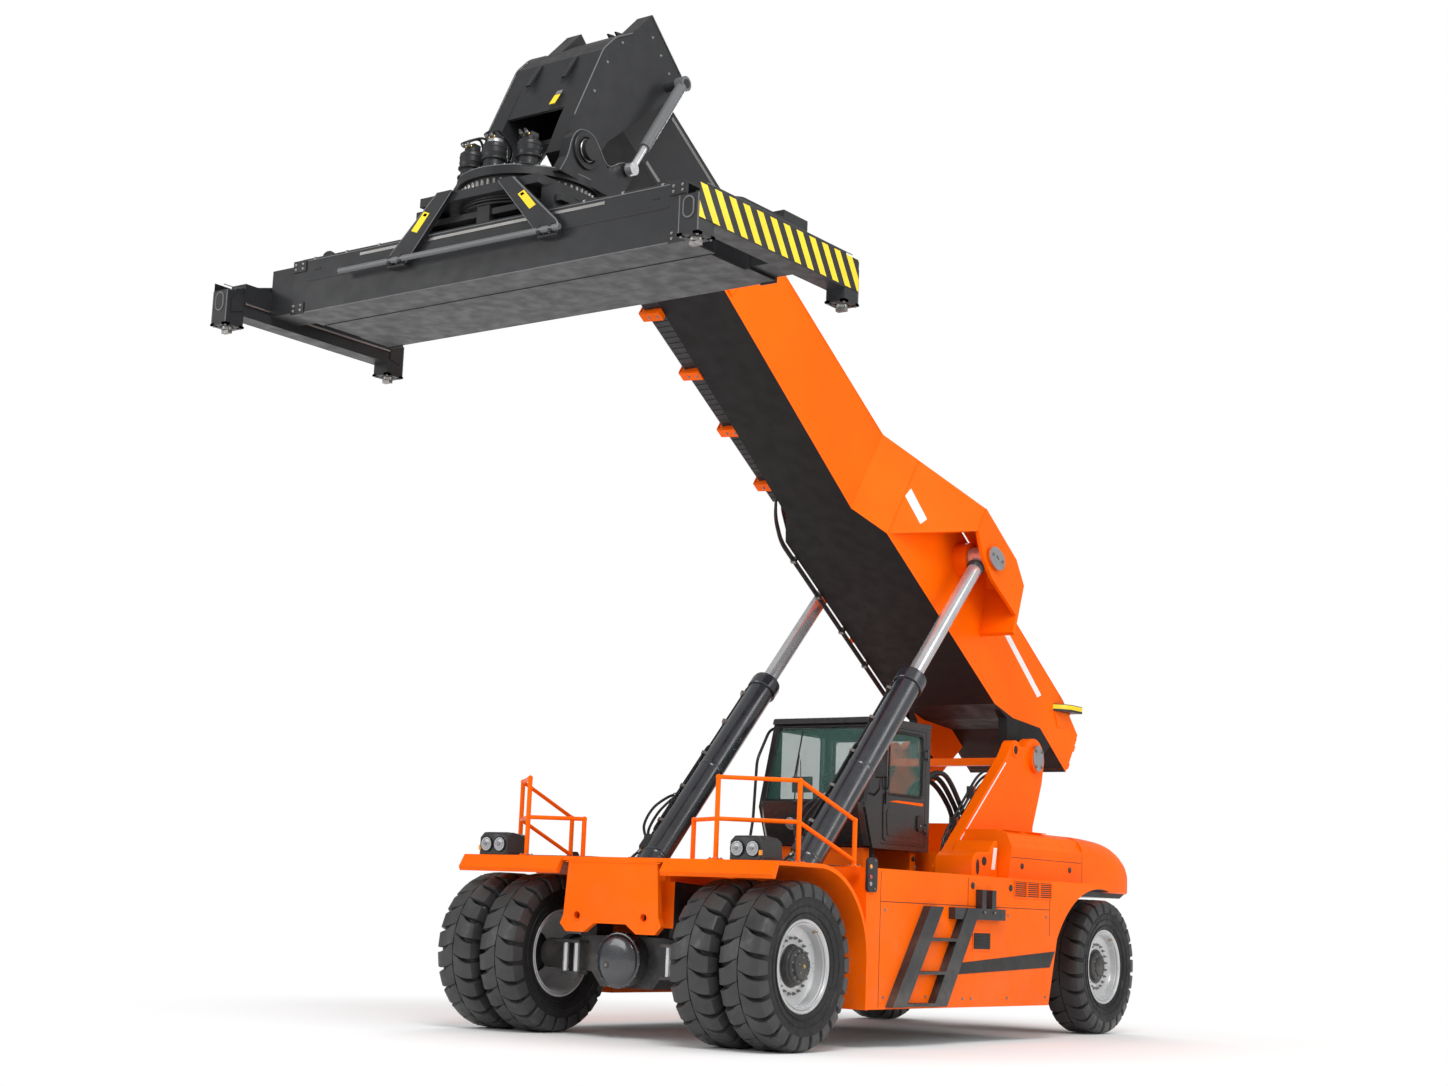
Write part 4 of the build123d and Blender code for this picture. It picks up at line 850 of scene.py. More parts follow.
SCREEN_OUT = (0, -0.96547, 0.26068)
SCREEN = pane((0, 3155, 2980), RIGHT, SCREEN_OUT)
seals = Piece(PLAN, "seal")
gasket(seals, SCREEN, 652, 447, 20, 70)
gasket(seals, pane((-722, 3830, 2980), FORWARD, (-1, 0, 0)), 455, 405, 18, 70)
gasket(seals, pane((0, 4402, 2950), (-1, 0, 0), BACK), 605, 395, 18, 70)
gasket(seals, pane((0, 3750, 3504), RIGHT, UP), 505, 255, 16)
seals.finish("window_seals", "chassis", "black_plastic", sharp=50)


def on_screen(x, up, out):
    return PLAN.inverted() @ SCREEN @ Vector((x, up, out))


cab = Piece(PLAN, "cab")
# Roof cap with a drip edge and two raised ribs, and the visor lip over the windscreen.
for x in (-600, 600):
    cab.box((x - 35, 3360, 3490), (x + 35, 4340, 3516))
cab.prism("x", -715, 715, [(3235, 3440), (3262, 3505), (3300, 3512), (3300, 3478)])
for s in (-1, 1):
    cab.prism("x", s * 708, s * 734, [(3262, 3440), (3280, 3500), (4400, 3508), (4400, 3462), (3300, 3440)])
cab.prism("x", -724, 724, [(4394, 3455), (4394, 3505), (4412, 3495), (4412, 3462)])
# Moulded lower front panel with its lamp bulge.
front = [[on_screen(x, -470, out) for x, out in ((-690, 20), (-640, 62), (640, 62), (690, 20), (690, -50),
                                                 (-690, -50))]]
for run, z in ((2998, 2440), (3045, 2260), (3134, 2060)):
    front.append([(-690, run + 40, z), (-640, run, z), (640, run, z), (690, run + 40, z), (690, run + 90, z),
                  (-690, run + 90, z)])
cab.loops(front)
cab.finish("cab_panels", "chassis", "cab_grey", 6, segments=3)

fit = Piece(PLAN)
at, way = (-270, 3028, 2300), (0, -0.93, -0.30)
fit.use("seal").lathe(at, way, ((-30, 88), (14, 92), (20, 86), (18, 74), (0, 70)), 36, ring=True)
fit.use("chrome").lathe(at, way, ((-20, 0), (-12, 30), (0, 58), (14, 74), (14, 66), (0, 46), (-10, 0)), 36)
fit.use("lamp_glass").lathe(at, way, ((8, 72), (18, 60), (25, 35), (27, 0)), 36)
# Grab rail at the cab's far front corner.
fit.use("black").tube([(-710, 3440, 3440), (-780, 3450, 3430), (-800, 3300, 3380), (-800, 3070, 3020),
                       (-800, 3030, 2330), (-800, 2970, 2060), (-720, 3060, 2060)], 17, 14, 80)
# Wiper: spindle, arm, link and blade resting on the windscreen.
fit.use("plastic").lathe(on_screen(-200, -470, 20), SCREEN_OUT, ((0, 30), (35, 28), (45, 18), (50, 0)), 20)
fit.tube([on_screen(-200, -470, 58), on_screen(-235, -120, 66), on_screen(-255, 80, 50)], 8, 10, 50)
fit.tube([on_screen(-150, -470, 50), on_screen(-185, -140, 58), on_screen(-225, 20, 48)], 5, 8, 50)
fit.use("seal").loops([[on_screen(x, up, out) for x, out in ((-281, 30), (-281, 44), (-269, 44), (-269, 30))]
                       for up in (-260, 380)])
# Exterior mirror on the near front pillar.
fit.use("plastic").tube([(715, 3200, 2620), (860, 3080, 2680), (900, 3060, 2950)], 11, 12, 60)
fit.loops([[(825, run - 12, z), (838, run + 22, z), (962, run + 30, z), (975, run - 4, z)]
           for run, z in ((3057, 2800), (3045, 2815), (3045, 3075), (3057, 3090))])
fit.use("chrome").box((838, 3068, 2825), (962, 3077, 3065))
fit.finish("cab_front_fittings", "chassis", "black_plastic", 1.5, sharp=36)

rear = Piece(PLAN, "plastic")
for z in range(2160, 2448, 32):
    rear.prism("x", -300, 300, [(4398, z), (4414, z + 4), (4416, z + 10), (4398, z + 24)])
rear.use("cab").box((-330, 4392, 2130), (330, 4404, 2470))
rear.use("seal")
for x, run in product((-550, 550), (4260, 3400)):
    rear.lathe((x, run, 1990), DOWN, ((-50, 50), (0, 50), (6, 62), (30, 66), (55, 60)), 24)
rear.bolts([(x, 4404, z) for z, x in product((2120, 2480), (-310, 310))], BACK, 10, 8)
rear.finish("cab_rear_fittings", "chassis", "black_plastic", 1.5)

door = Piece(PLAN, "cab")
x = 718.5
# Raised door skin below the pane, pressed in two fields, with its slim orange line and the lock's housing.
door.prism("x", x - 4, x + 10, [(3400, 2150), (3385, 2500), (3400, 2600), (4270, 2600), (4270, 2150),
                                (4220, 2130), (3450, 2130)])
door.prism("x", x + 8, x + 18, [(3470, 2220), (3450, 2440), (3490, 2520), (4000, 2520), (4030, 2480),
                                (4030, 2220), (4000, 2190), (3500, 2190)])
door.use("orange").prism("x", x + 8, x + 12.5, [(3500, 2570), (3660, 2592), (4240, 2592), (4240, 2560)])
door.use("plastic").prism("x", x + 8, x + 30, [(4100, 2300), (4100, 2420), (4130, 2450), (4200, 2450),
                                               (4230, 2420), (4230, 2300), (4200, 2270), (4130, 2270)])
door.use("zinc").lathe((x + 30, 4165, 2330), RIGHT, ((-2, 16), (6, 16), (8, 12), (8, 0)), 18)
door.use("plastic").tube([(x + 18, 3430, 2700), (x + 44, 3430, 2740), (x + 44, 3430, 3200), (x + 18, 3430,
                                                                                             3240)],
                         11, 12, 30)
gasket(door.use("seal"), pane((x + 2, 3832, 3010), BACK, RIGHT), 400, 355, 15)
for z in (2300, 3150):
    door.use("cab").lathe((745, 4300, z - 62), UP, ((0, 10), (0, 13.5), (124, 13.5), (124, 10)), 18,
                          ring=True)
    door.box((718, 4220, z - 35), (728, 4295, z + 35))
    door.bolts([(728, 4245, z + dz) for dz in (-20, 20)], RIGHT, 8, 6)
door.finish("door_fittings", "cab_door", "cab_grey", 2.5, sharp=36)

# ---------------------------------------------------------------- inside the cab


def cushion(name, centre, half, tilt, puff, grooves):
    """A stuffed pad: a dense grid pushed out like a pillow, with stitched channels across the middle."""
    turned = Matrix.Translation(PLAN @ Vector(centre)) @ Matrix.Rotation(math.radians(tilt), 4, "X") @ MM
    piece = Piece(turned, "fabric")
    n = 40
    hx, hy, hz = half

    def shape(i, j, top):
        a, b = i / n * 2 - 1, j / n * 2 - 1
        soft = max((1 - abs(a) ** 5) * (1 - abs(b) ** 5), 0.0) ** 0.5
        squeeze = 1 - 0.035 * (1 - soft)
        height = hz * (0.35 + 0.65 * soft)
        if top:
            height += puff * (1 - a * a) * (1 - b * b)
            if abs(a) < 0.74:
                line = abs(((b + 1) * grooves) % 1.0 - 0.5) * 2
                height -= 10 * max(0.0, line - 0.82) / 0.18 * soft
            height -= 12 * max(0.0, 1 - abs(abs(a) - 0.76) / 0.05) * soft
        return (a * hx * squeeze, b * hy * squeeze, height if top else -height)

    grid = {}
    for top in (True, False):
        for i, j in product(range(n + 1), repeat=2):
            grid[top, i, j] = piece.bm.verts.new(turned @ Vector(shape(i, j, top)))
        for i, j in product(range(n), repeat=2):
            piece.bm.faces.new([grid[top, *at] for at in ((i, j), (i + 1, j), (i + 1, j + 1), (i, j + 1))])
    border = [(i, 0) for i in range(n)] + [(n, j) for j in range(n)]
    border += [(n - i, n) for i in range(n)] + [(0, n - j) for j in range(n)]
    for a, b in zip(border, border[1:] + border[:1]):
        piece.bm.faces.new((grid[True, *a], grid[True, *b], grid[False, *b], grid[False, *a]))
    # Piping along the seam.
    piece.local = MM
    rim = [MM.inverted() @ turned @ Vector((a * hx * 0.97, b * hy * 0.97, 0))
           for a, b in ((-1, -1), (1, -1), (1, 1), (-1, 1), (-1, -1))]
    piece.use("trim").tube(smooth_path(rim + [rim[0] + (rim[1] - rim[0]) * 0.02], 50), 5.5, 8)
    obj = piece.finish(name, "chassis", "seat_fabric", sharp=60)
    return obj


seat = cushion("seat_cushion", (0, 3955, 2385), (250, 250, 62), 4, 22, 2.5)
cushion("seat_backrest", (0, 4225, 2735), (235, 310, 52), 99, 20, 3.0)
cushion("seat_headrest", (0, 4262, 3120), (138, 82, 38), 99, 12, 1.0)
for label, s in SIDES:
    cushion("seat_armrest_" + label, (s * 290, 3980, 2600), (34, 170, 24), 0, 6, 1.0)
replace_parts(seat, "driver_seat")

base = Piece(PLAN, "trim")
base.box((-245, 3720, 2290), (245, 4200, 2335))
base.use("seal")
for k in range(7):
    z, grow = 2155 + k * 19, 12 * (k % 2)
    base.box((-185 - grow, 3780 - grow, z), (185 + grow, 4130 + grow, z + 12))
base.use("plastic").box((-210, 3740, 2092), (210, 4170, 2155))
base.use("steel")
for s in (-1, 1):
    base.box((s * 150 - 20, 3740, 2300), (s * 150 + 20, 4170, 2316))
    base.tube([(s * 285, 4235, 2440), (s * 285, 4215, 2560), (s * 288, 4120, 2585)], 14, 12, 50)
    base.rod((s * 55, 4247, 2990), (s * 55, 4258, 3100), 7, 12)
base.use("trim").prism("x", -225, 225, [(4268, 2440), (4300, 2440), (4345, 3030), (4315, 3040)])
base.finish("seat_frame", "chassis", "cab_trim", 4, sharp=36)

controls = Piece(PLAN, "trim")
hub, column = Vector((0, 3570, 2770)), Vector((0, 0.5, 0.866)).normalized()
right, ahead = Vector(RIGHT), Vector((0, 0.866, -0.5))
controls.loops([[hub + (right * c + ahead * d) * (190 + 16.5 * e) + column * 16.5 * f for e, f in circle(10)]
                for c, d in circle(48)], wrap=True)
for c, d in circle(3, 0.75):
    way = right * c + ahead * d
    across = way.cross(column)
    controls.loops([[hub + way * r + across * w * a + column * b for a, b in ((-1, -6), (1, -6), (1, 6),
                                                                              (-1, 6))]
                    for r, w in ((30, 24), (100, 13), (184, 16))])
controls.lathe(hub - column * 30, column, ((0, 32), (20, 46), (36, 46), (44, 30), (46, 0)), 28)
controls.lathe(hub + right * 165 + column * 12, column, ((0, 10), (20, 12), (35, 24), (55, 22), (62, 0)), 18)
controls.rod(hub - column * 30, (0, 3420, 2420), 32, 20)
# Display, its bracket, and the lever and switches on the side console.
controls.use("plastic").box((-460, 3300, 2660), (-200, 3335, 2840))
controls.use("glass").box((-445, 3335, 2675), (-215, 3338, 2825))
controls.use("plastic").rod((-330, 3330, 2400), (-330, 3320, 2670), 16, 14)
controls.lathe((-470, 3800, 2470), UP, ((0, 50), (10, 46), (16, 50), (26, 38), (32, 42), (44, 28), (50, 30),
                                        (62, 16), (150, 14), (165, 26), (230, 28), (250, 18), (253, 0)), 24)
for k, key in enumerate(("trim", "amber", "trim", "trim", "red", "trim")):
    at = (-520 + 45 * (k % 2), 3920 + 45 * (k // 2), 2470)
    controls.use(key).box(shift(at, -15, -15, -2), shift(at, 15, 15, 10))
controls.use("seal")
for x in (-140, 130):
    controls.prism("x", x, x + 85, [(3345, 2140), (3270, 2255), (3258, 2247), (3330, 2135)])
controls.box((-600, 3200, 2091), (620, 4300, 2098))
controls.finish("cab_controls", "chassis", "cab_trim", 2, sharp=40)

# ---------------------------------------------------------------- boom

# White bars on the boom's side, each by its lower and its upper edge.
WHITE_BARS = (
    ((3955, 823), (3925, 964), (3628, 738), (3675, 622)),
    ((1670, 1080), (1580, 1170), (10, 1040), (80, 950)),
)
wall_mesh = BVHTree.FromPolygons([v.co for v in nodes["outer_boom"].data.vertices],
                                 [tuple(p.vertices) for p in nodes["outer_boom"].data.polygons])


def on_wall(at, s, lift=4):
    """The outermost point of the boom's wall at that place, a little proud of it."""
    hit = wall_mesh.ray_cast(BOOM @ Vector((s * 1600, *at)), Vector((-s, 0, 0)))
    return BOOM.inverted() @ hit[0] + Vector((s * lift, 0, 0))


marks = Piece(BOOM, "white")
for s, bar in product((-1, 1), WHITE_BARS):
    a, b, c, d = (Vector(p) for p in bar)
    rings = []
    for k in range(25):
        low, high = a.lerp(d, k / 24), b.lerp(c, k / 24)
        rings.append([on_wall(low, s, -3), on_wall(low, s), on_wall(high, s), on_wall(high, s, -3)])
    marks.loops(rings)
marks.finish("boom_side_marks", "outer_boom", "orange_paint")

# Closing plates under the tail, and the black pivot cheeks below them.
belly = Piece(BOOM, "underside")
UNDER_LINE = ((905, 192), (430, 342), (-200, 682), (-1078, 652))
for (u0, w0), (u1, w1) in zip(UNDER_LINE, UNDER_LINE[1:]):
    belly.prism("x", -676, 676, [(u0, w0), (u1, w1), (u1, w1 + 20), (u0, w0 + 20)])
for s in (-1, 1):
    belly.use("underside").prism("x", s * 699, s * 703, [(900, 188), (430, 338), (-200, 678), (-550, 668),
                                                         (-228, -158), (0, -228), (228, -158), (558, 236)])
    belly.use("orange").prism("x", s * 600, s * 700, [(-1080, 700), (-1095, 700), (-1095, 1200),
                                                      (-1080, 1200)])
belly.finish("boom_tail_plates", "outer_boom", "black_paint", 3)

covers = Piece(BOOM)
for s in (-1, 1):
    out = (s, 0, 0)
    # Retaining plate over the rod eye's pin: an egg of sheet steel with two screws and a slot, the slot a black
    # strip of painted shade.
    egg = smooth_loop([(2745, 1075), (2640, 1165), (2446, 1190), (2372, 1105), (2385, 1010), (2500, 925),
                       (2640, 915), (2735, 975)])
    covers.use("castpin").prism("x", s * (EYE_X - 2), s * (EYE_X + 18), egg)
    covers.bolts([(s * (EYE_X + 18), u, w) for u, w in ((2450, 1090), (2670, 1020))], out, 16, 13)
    covers.use("black_mark_and_painted_shade").box((s * (EYE_X + 17), 2530, 1050), (s * (EYE_X + 19), 2600, 1068))
    # Pivot bosses inside the tower plates show as rings.
    covers.use("steel").lathe((s * 705, 0, 0), out, ((-10, 120), (40, 120), (44, 112), (44, 90), (-10, 90)),
                              40, ring=True)
covers.finish("boom_pin_covers", "outer_boom", "bare_steel", 3)

collar = Piece(BOOM, "orange")
for s in (-1, 1):
    for half, start, stop in ((BOOM_HALF, 4460, BOOM_FRONT - 20), (BOOM_REAR_HALF, -450, 3980)):
        collar.tube([(s * (half + 1), u, BOOM_TOP - 12) for u in (start, stop)], 6, 8)
# Mouth collar: doubler plates, wear-pad screws and adjusting blocks, which lie flush on the far side.
for s, block_in, block_out in ((-1, 4, 0), (1, -4, 10)):
    face = s * (BOOM_HALF + 18)
    collar.use("orange").box((s * BOOM_HALF, 7520, MOUTH_UNDER + 30), (face, BOOM_FRONT, BOOM_TOP - 20))
    collar.bolts([(face, u, w) for w, u in product((520, 660, 1060, 1220), (7600, 7710))], (s, 0, 0), 14, 12)
    collar.use("steel")
    for w in (590, 1140):
        collar.box((face + block_in, 7625, w - 35), (face + block_out, 7685, w + 35))
collar.use("orange").box((-440, 7520, BOOM_TOP - 2), (440, 7800, BOOM_TOP + 16))
collar.bolts([(x, u, BOOM_TOP + 16) for x, u in product((-340, -120, 120, 340), (7600, 7710))], UP, 14, 12)
collar.use("steel")
for x in (-220, 220):
    collar.box((x - 70, 7785, MOUTH_UNDER + 6), (x + 70, 7812, MOUTH_UNDER + 75))
    collar.box((x - 70, 7785, INNER_HIGH + 6), (x + 70, 7812, INNER_HIGH + 68))
collar.finish("boom_mouth_collar", "outer_boom", "orange_paint", 2)

stern = Piece(BOOM)
for s in (-1, 1):
    # The lamps lie level, whatever the boom's angle.
    stern.local = MM
    lamp = ((690, 5080), (800, 5160), (860, 5300), (860, 5600), (690, 5600))
    for low, high, key in ((3985, 4013, "plastic"), (4011, 4067, "yellow"), (4065, 4075, "plastic")):
        stern.use(key).loops([[(s * x, y, z) for x, y in lamp] for z in (low, high)])
    stern.use("orange").loops([[(s * x, y, z) for y, z in ((5120, 3985), (5560, 3985), (5360, 3785),
                                                           (5200, 3785))]
                              for x in (700, 712)])
    stern.local = BOOM
    for w in (740, 1020):
        stern.box((s * 560, -1135, w), (s * 690, -1060, w + 80))
stern.use("black_mark_and_painted_shade").box((-420, -1100, 860), (420, -1072, 1200))
stern.bolts([(x, -1100, w) for x, w in product((-350, 350), (900, 1160))], FORWARD, 13, 10)
stern.finish("boom_tail_fittings", "outer_boom", "orange_paint", 3)

# Energy chain: linked carriers in the channel on the far side, and the clipped pipes that feed it.
chain = Piece(BOOM, "plastic")
for k in range(34):
    u, rise = 4520 + 94 * k, 4 * (k % 2)
    for x in (-672, -500):
        chain.box((x - 8 - rise, u - 4, 612), (x + 8 + rise, u + 90, 688))
    chain.box((-670, u + 24, 676), (-500, u + 62, 690))
# Turned lips and pressed ribs of the tray's underside; the lips are lighter grey as painted highlights.
chain.use("light_grey_and_edge_highlight")
for x in (-690, -470):
    chain.tube([(x, 4480, 392), (x, 7720, 392)], 7, 8)
for k in range(40):
    u = 4520 + 80 * k
    chain.use("plastic").box((-685, u, 383), (-475, u + 34, 391))
    chain.use("grey").box((-696, u, 440), (-689, u + 30, 580))
chain.finish("energy_chain", "outer_boom", "black_plastic", 2)

arms = Piece(BOOM)
for u in (4750, 5650, 6550, 7450):
    arms.use("orange").prism("y", u - 12, u + 102, [(-452, 290), (-735, 318), (-752, 340), (-752, 490),
                                                    (-738, 490), (-735, 352), (-452, 335)])
    arms.bolts([(x, u + 45, w) for x, w in ((-620, 306), (-500, 296))], DOWN, 13, 10)
arms.finish("chain_brackets", "outer_boom", "orange_paint", 4)
hoses("energy_chain_lines", "outer_boom", BOOM,
      [[(-640 + 34 * k, u, 645) for u in (4500, 6000, 7660)] for k in range(4)], 12)

feed = Piece(BOOM, "black")
for k in range(4):
    w = 300 + 42 * k
    feed.tube([(-728, 300, w), (-728, 3940, w), (-600 - 4 * k, 4420, w + 60), (-560 - 20 * k, 4520, 560)],
              14.5, 12, 100)
for u in (450, 1150, 1850, 2550, 3250, 3850):
    feed.use("steel").box((-752, u - 22, 262), (-698, u + 22, 462))
    feed.bolts([(-752, u, w) for w in (272, 452)], (-1, 0, 0), 9, 7)
# Two more along the lower edge, down to the tail.
feed.use("black")
for w in (192, 154):
    feed.tube([(-746, 950, w), (-746, 4020, w), (-670, 4360, w + 70), (-610, 4560, 400)], 15.5, 12, 120)
feed.use("steel")
for u in (1100, 1750, 2400, 3050, 3700):
    feed.box((-768, u - 20, 132), (-698, u + 20, 215))
feed.finish("boom_feed_pipes", "outer_boom", "black_paint", 1.5)

# ---------------------------------------------------------------- inner boom and head

rails = Piece(BOOM, "steel")
for s, w in product((-1, 1), (INNER_LOW + 50, INNER_HIGH - 70)):
    rails.box((s * (INNER_HALF - 2), 4600, w - 20), (s * (INNER_HALF + 3), 9300, w + 20))
rails.finish("inner_boom_slide_strips", "inner_boom", "bare_steel")

head = Piece(BOOM)
for s in (-1, 1):
    # Turned edges of the head's side plates and the top cover, in lighter grey as painted edge highlights.
    for edge in (((10300, 1572), (9470, 1442)), ((10385, 1155), (10525, 900), (10575, 650), (10455, -240))):
        head.use("light_grey_and_edge_highlight").tube([(s * 566, u, w) for u, w in edge], 7, 8, 60)
    head.use("castpin").lathe((s * 560, HEAD_PIN_U, HEAD_PIN_W), (s, 0, 0), ((0, 155), (6, 155), (10, 150),
                                                                             (10, 100)),
                              44)
    head.bolts([(s * 560, u, w)
                for u, w in ((9750, 1320), (9950, 1360), (10150, 1400), (10420, 950), (10450, 600),
                             (10400, 200))], (s, 0, 0), 12, 9)
head.use("grey")
for x in (-50, 50):
    head.prism("x", x - 12, x + 12, [(9920, 1490), (10000, 1620), (10050, 1645), (10120, 1645), (10170, 1620),
                                     (10240, 1555)])
head.use("steel").lathe((-70, 10085, 1600), RIGHT, ((0, 22), (140, 22)), 20)
head.use("grey")
for s in (-1, 1):
    head.box((s * 200, 10560, 300), (s * 260, 10585, 620))
head.finish("boom_head_trim", "inner_boom", "dark_grey_paint", 3)

plate = Piece(BOOM, "yellow")
plate.box((200, 10520, -60), (270, 10528, 80))
plate.use("castpin").box((200, 10520, 90), (270, 10528, 150))
plate.finish("boom_head_blank_labels", "inner_boom", "silver_paint", 1)

# ---------------------------------------------------------------- lift cylinders

LIFT_LENGTH = (LIFT_PIN - LIFT_BASE).length * 1000
LIFT_DIR = (LIFT_PIN - LIFT_BASE).normalized()
LIFT_UP = Vector((0, -LIFT_DIR.z, LIFT_DIR.y))

for label, s in SIDES:
    foot = LIFT_BASE + MM @ Vector((s * LIFT_X, 0, 0))
    cylinder = frame_matrix(foot, RIGHT, LIFT_DIR, LIFT_UP) @ MM
    rides_on = "lift_barrel_" + label
    mouth, r = BARREL_LENGTH, BARREL_R
    barrel = Piece(cylinder, "barrel")
    barrel.lathe((0, mouth - 170, 0), BACK, ((0, r - 4), (0, r + 16), (8, r + 24), (135, r + 24),
                                             (150, r + 14), (160, r - 10), (176, r - 16), (176, 104),
                                             (100, 100)), 56)
    barrel.lathe((0, 300, 0), BACK, ((-20, r - 3), (0, r + 6), (14, r + 9), (28, r + 6), (50, r - 3)), 48,
                 ring=True)
    barrel.lathe((0, 1700, 0), BACK, ((-20, r - 3), (0, r + 4), (30, r + 4), (50, r - 3)), 48, ring=True)
    barrel.use("seal").lathe((0, mouth + 4, 0), BACK, ((0, 128), (10, 128), (18, 108), (18, 88.5), (0, 88.5)),
                             44, ring=True)
    barrel.use("zinc").bolt_ring((0, mouth + 4, 0), BACK, 137.5, 12, 9)
    barrel.finish("lift_collar_" + label, rides_on, "black_paint", sharp=30)

    turned = cylinder @ Matrix.Rotation(math.radians(-62), 4, "Y")
    lines = Piece(turned, "black")
    for x, start, stop in ((-20, 460, mouth - 120), (26, 620, 2050)):
        lines.tube([(x, start, r * 0.95), (x, start + 30, r + 26), (x, stop - 30, r + 26),
                    (x, stop, r * 0.95)],
                   13.5, 12, 50)
    for along in (800, 1350, 1900, 2450, 2950):
        lines.use("steel").box((-44, along - 20, r - 10), (50, along + 20, r + 46))
        lines.use("zinc").bolt((3, along, r + 46), UP, 9, 7)
    lines.use("cast").box((-75, 340, r - 30), (75, 540, r + 50))
    lines.use("brass")
    for x in (-38, 38):
        lines.lathe((x, 340, r + 15), FORWARD, ((-4, 22), (16, 22), (20, 16), (34, 16)), 6)
    lines.bolt((0, 490, r + 50), UP, 16, 14)
    lines.finish("lift_pipes_" + label, rides_on, "black_paint", 2)

    routes = [[(k * x, y, r + z) for x, y, z in ((38, 310, 15), (50, 200, 45), (62, 60, 50), (58, -30, 10))]
              for k in (-1, 1)]
    for route in (((0, 500, 40), (20, 660, 150), (20, 920, 170), (10, 1140, 100), (0, 1240, 30)),
                  ((-50, 520, 30), (-70, 700, 110), (-60, 950, 120), (-40, 1160, 70), (-30, 1260, 20))):
        routes.append([(x, y, r + z) for x, y, z in route])
    hoses("lift_hoses_" + label, rides_on, turned, routes, 15.5)

    base = Piece(Matrix.Translation(foot) @ MM)
    for side in (-1, 1):
        base.use("castpin").lathe((side * 166, 0, 0), (side, 0, 0), ((-6, 85), (8, 85), (12, 78), (12, 0)),
                                  32)
        base.use("zinc").bolt_ring((side * 178, 0, 0), (side, 0, 0), 52, 3, 10)
    base.finish("lift_base_pin_" + label, rides_on, "bare_steel", 1)

    rod_end = Piece(cylinder, "cast")
    rod_end.lathe((0, LIFT_LENGTH - 238, 0), BACK, ((0, 89), (0, 96), (14, 104), (70, 106), (85, 98),
                                                    (100, 60)), 40)
    rod_end.use("brass").bolt((0, LIFT_LENGTH - 60, 125), UP, 8, 12)
    rod_end.finish("lift_rod_collar_" + label, "lift_rod_" + label, "chrome_rod", sharp=30)

# ---------------------------------------------------------------- tilt yoke

yoke = Piece(YOKE)
YOKE_EDGE = ((-360, -300), (-250, -120), (-210, 80), (-100, 200), (100, 200), (210, 80), (330, -70),
             (560, 70), (690, 60))
for s in (-1, 1):
    eye, out = (s * 695, 0, 0), (s, 0, 0)
    yoke.use("grey").lathe(eye, out, ((0, 185), (18, 185), (26, 178), (26, 135), (22, 130), (0, 130)), 52,
                           ring=True)
    yoke.use("steel").lathe(eye, out, ((0, 112), (30, 112), (36, 106), (36, 86), (0, 86)), 44, ring=True)
    yoke.use("castpin").lathe(eye, out, ((0, 80), (44, 80), (50, 73), (50, 0)), 36)
    yoke.use("zinc").bolt_ring(shift(eye, s * 50), out, 45, 4, 11)
    yoke.use("steel").lathe(shift(eye, s * 24, 620), out, ((-20, 52), (10, 52), (14, 46), (14, 0)), 28)
    # Lighter grey tube along the side plate's edge: a painted edge highlight.
    yoke.use("light_grey_and_edge_highlight").tube([(s * 696, y, z) for y, z in YOKE_EDGE], 6, 8, 100)
yoke.finish("yoke_pins", "tilt_yoke", "bare_steel", 1.2, sharp=30)

# The flange's rim in lighter grey: a painted edge highlight.
disc = Piece(YOKE, "light_grey_and_edge_highlight")
disc.lathe((0, 0, DISC_DROP), UP, ((36, 702), (46, 700), (49, 694), (49, 655), (46, 651), (40, 655)), 96,
           ring=True)
disc.use("zinc")
for c, d in circle(44, 0.5):
    if abs(c * 670) <= 540:
        disc.bolt((c * 670, d * 670, DISC_DROP + 49), UP, 10.5, 11)
disc.finish("yoke_flange_bolts", "tilt_yoke", "bare_steel", sharp=30)

MOTORS = ((-330, -480, "grey"), (40, -560, "castpin"), (380, -450, "grey"))
DISC_DECK = DISC_DROP + 45
motors = Piece(YOKE)
for x, y, key in MOTORS:
    foot = (x, y, DISC_DECK)
    motors.use("grey").lathe(foot, UP, ((0, 132), (18, 132), (24, 124), (28, 106), (88, 104), (94, 128),
                                        (112, 128), (118, 118)), 36)
    motors.use("zinc").bolt_ring(shift(foot, 0, 0, 18), UP, 117, 8, 8)
    motors.use("grey").lathe(foot, UP, ((112, 112), (130, 116), (150, 118), (156, 122), (162, 118),
                                        (206, 118), (212, 122), (218, 118), (246, 116), (262, 100),
                                        (266, 74)), 40)
    motors.use(key).lathe(foot, UP, ((262, 76), (300, 76), (306, 70), (306, 52), (318, 50), (322, 44),
                                     (323, 0)), 28)
    motors.use("cast").box(shift(foot, -60, -45, 285), shift(foot, 60, 50, 345))
    motors.use("brass")
    for dx in (-34, 34):
        motors.lathe(shift(foot, dx, -45, 316), FORWARD, ((0, 14), (20, 14), (24, 10), (34, 10)), 6)
    motors.use("zinc").bolt(shift(foot, 0, 0, 345), UP, 12, 10)
# Swivel block with its stacked ports between the motors.
block = Vector((-120, -400, DISC_DECK))
motors.use("cast").lathe(block, UP, ((0, 100), (20, 100), (24, 70), (200, 70), (205, 85), (230, 85),
                                     (235, 30), (250, 0)), 30)
motors.use("brass")
for k in range(5):
    t = math.radians(150 + 48 * k)
    way = Vector((math.cos(t), math.sin(t), 0))
    motors.lathe(shift(block + way * 70, 0, 0, 70 + 28 * k), way, ((-10, 13), (18, 13), (22, 10), (36, 10)),
                 6)
motors.finish("slew_motors", "tilt_yoke", "dark_grey_paint", 2, sharp=30)

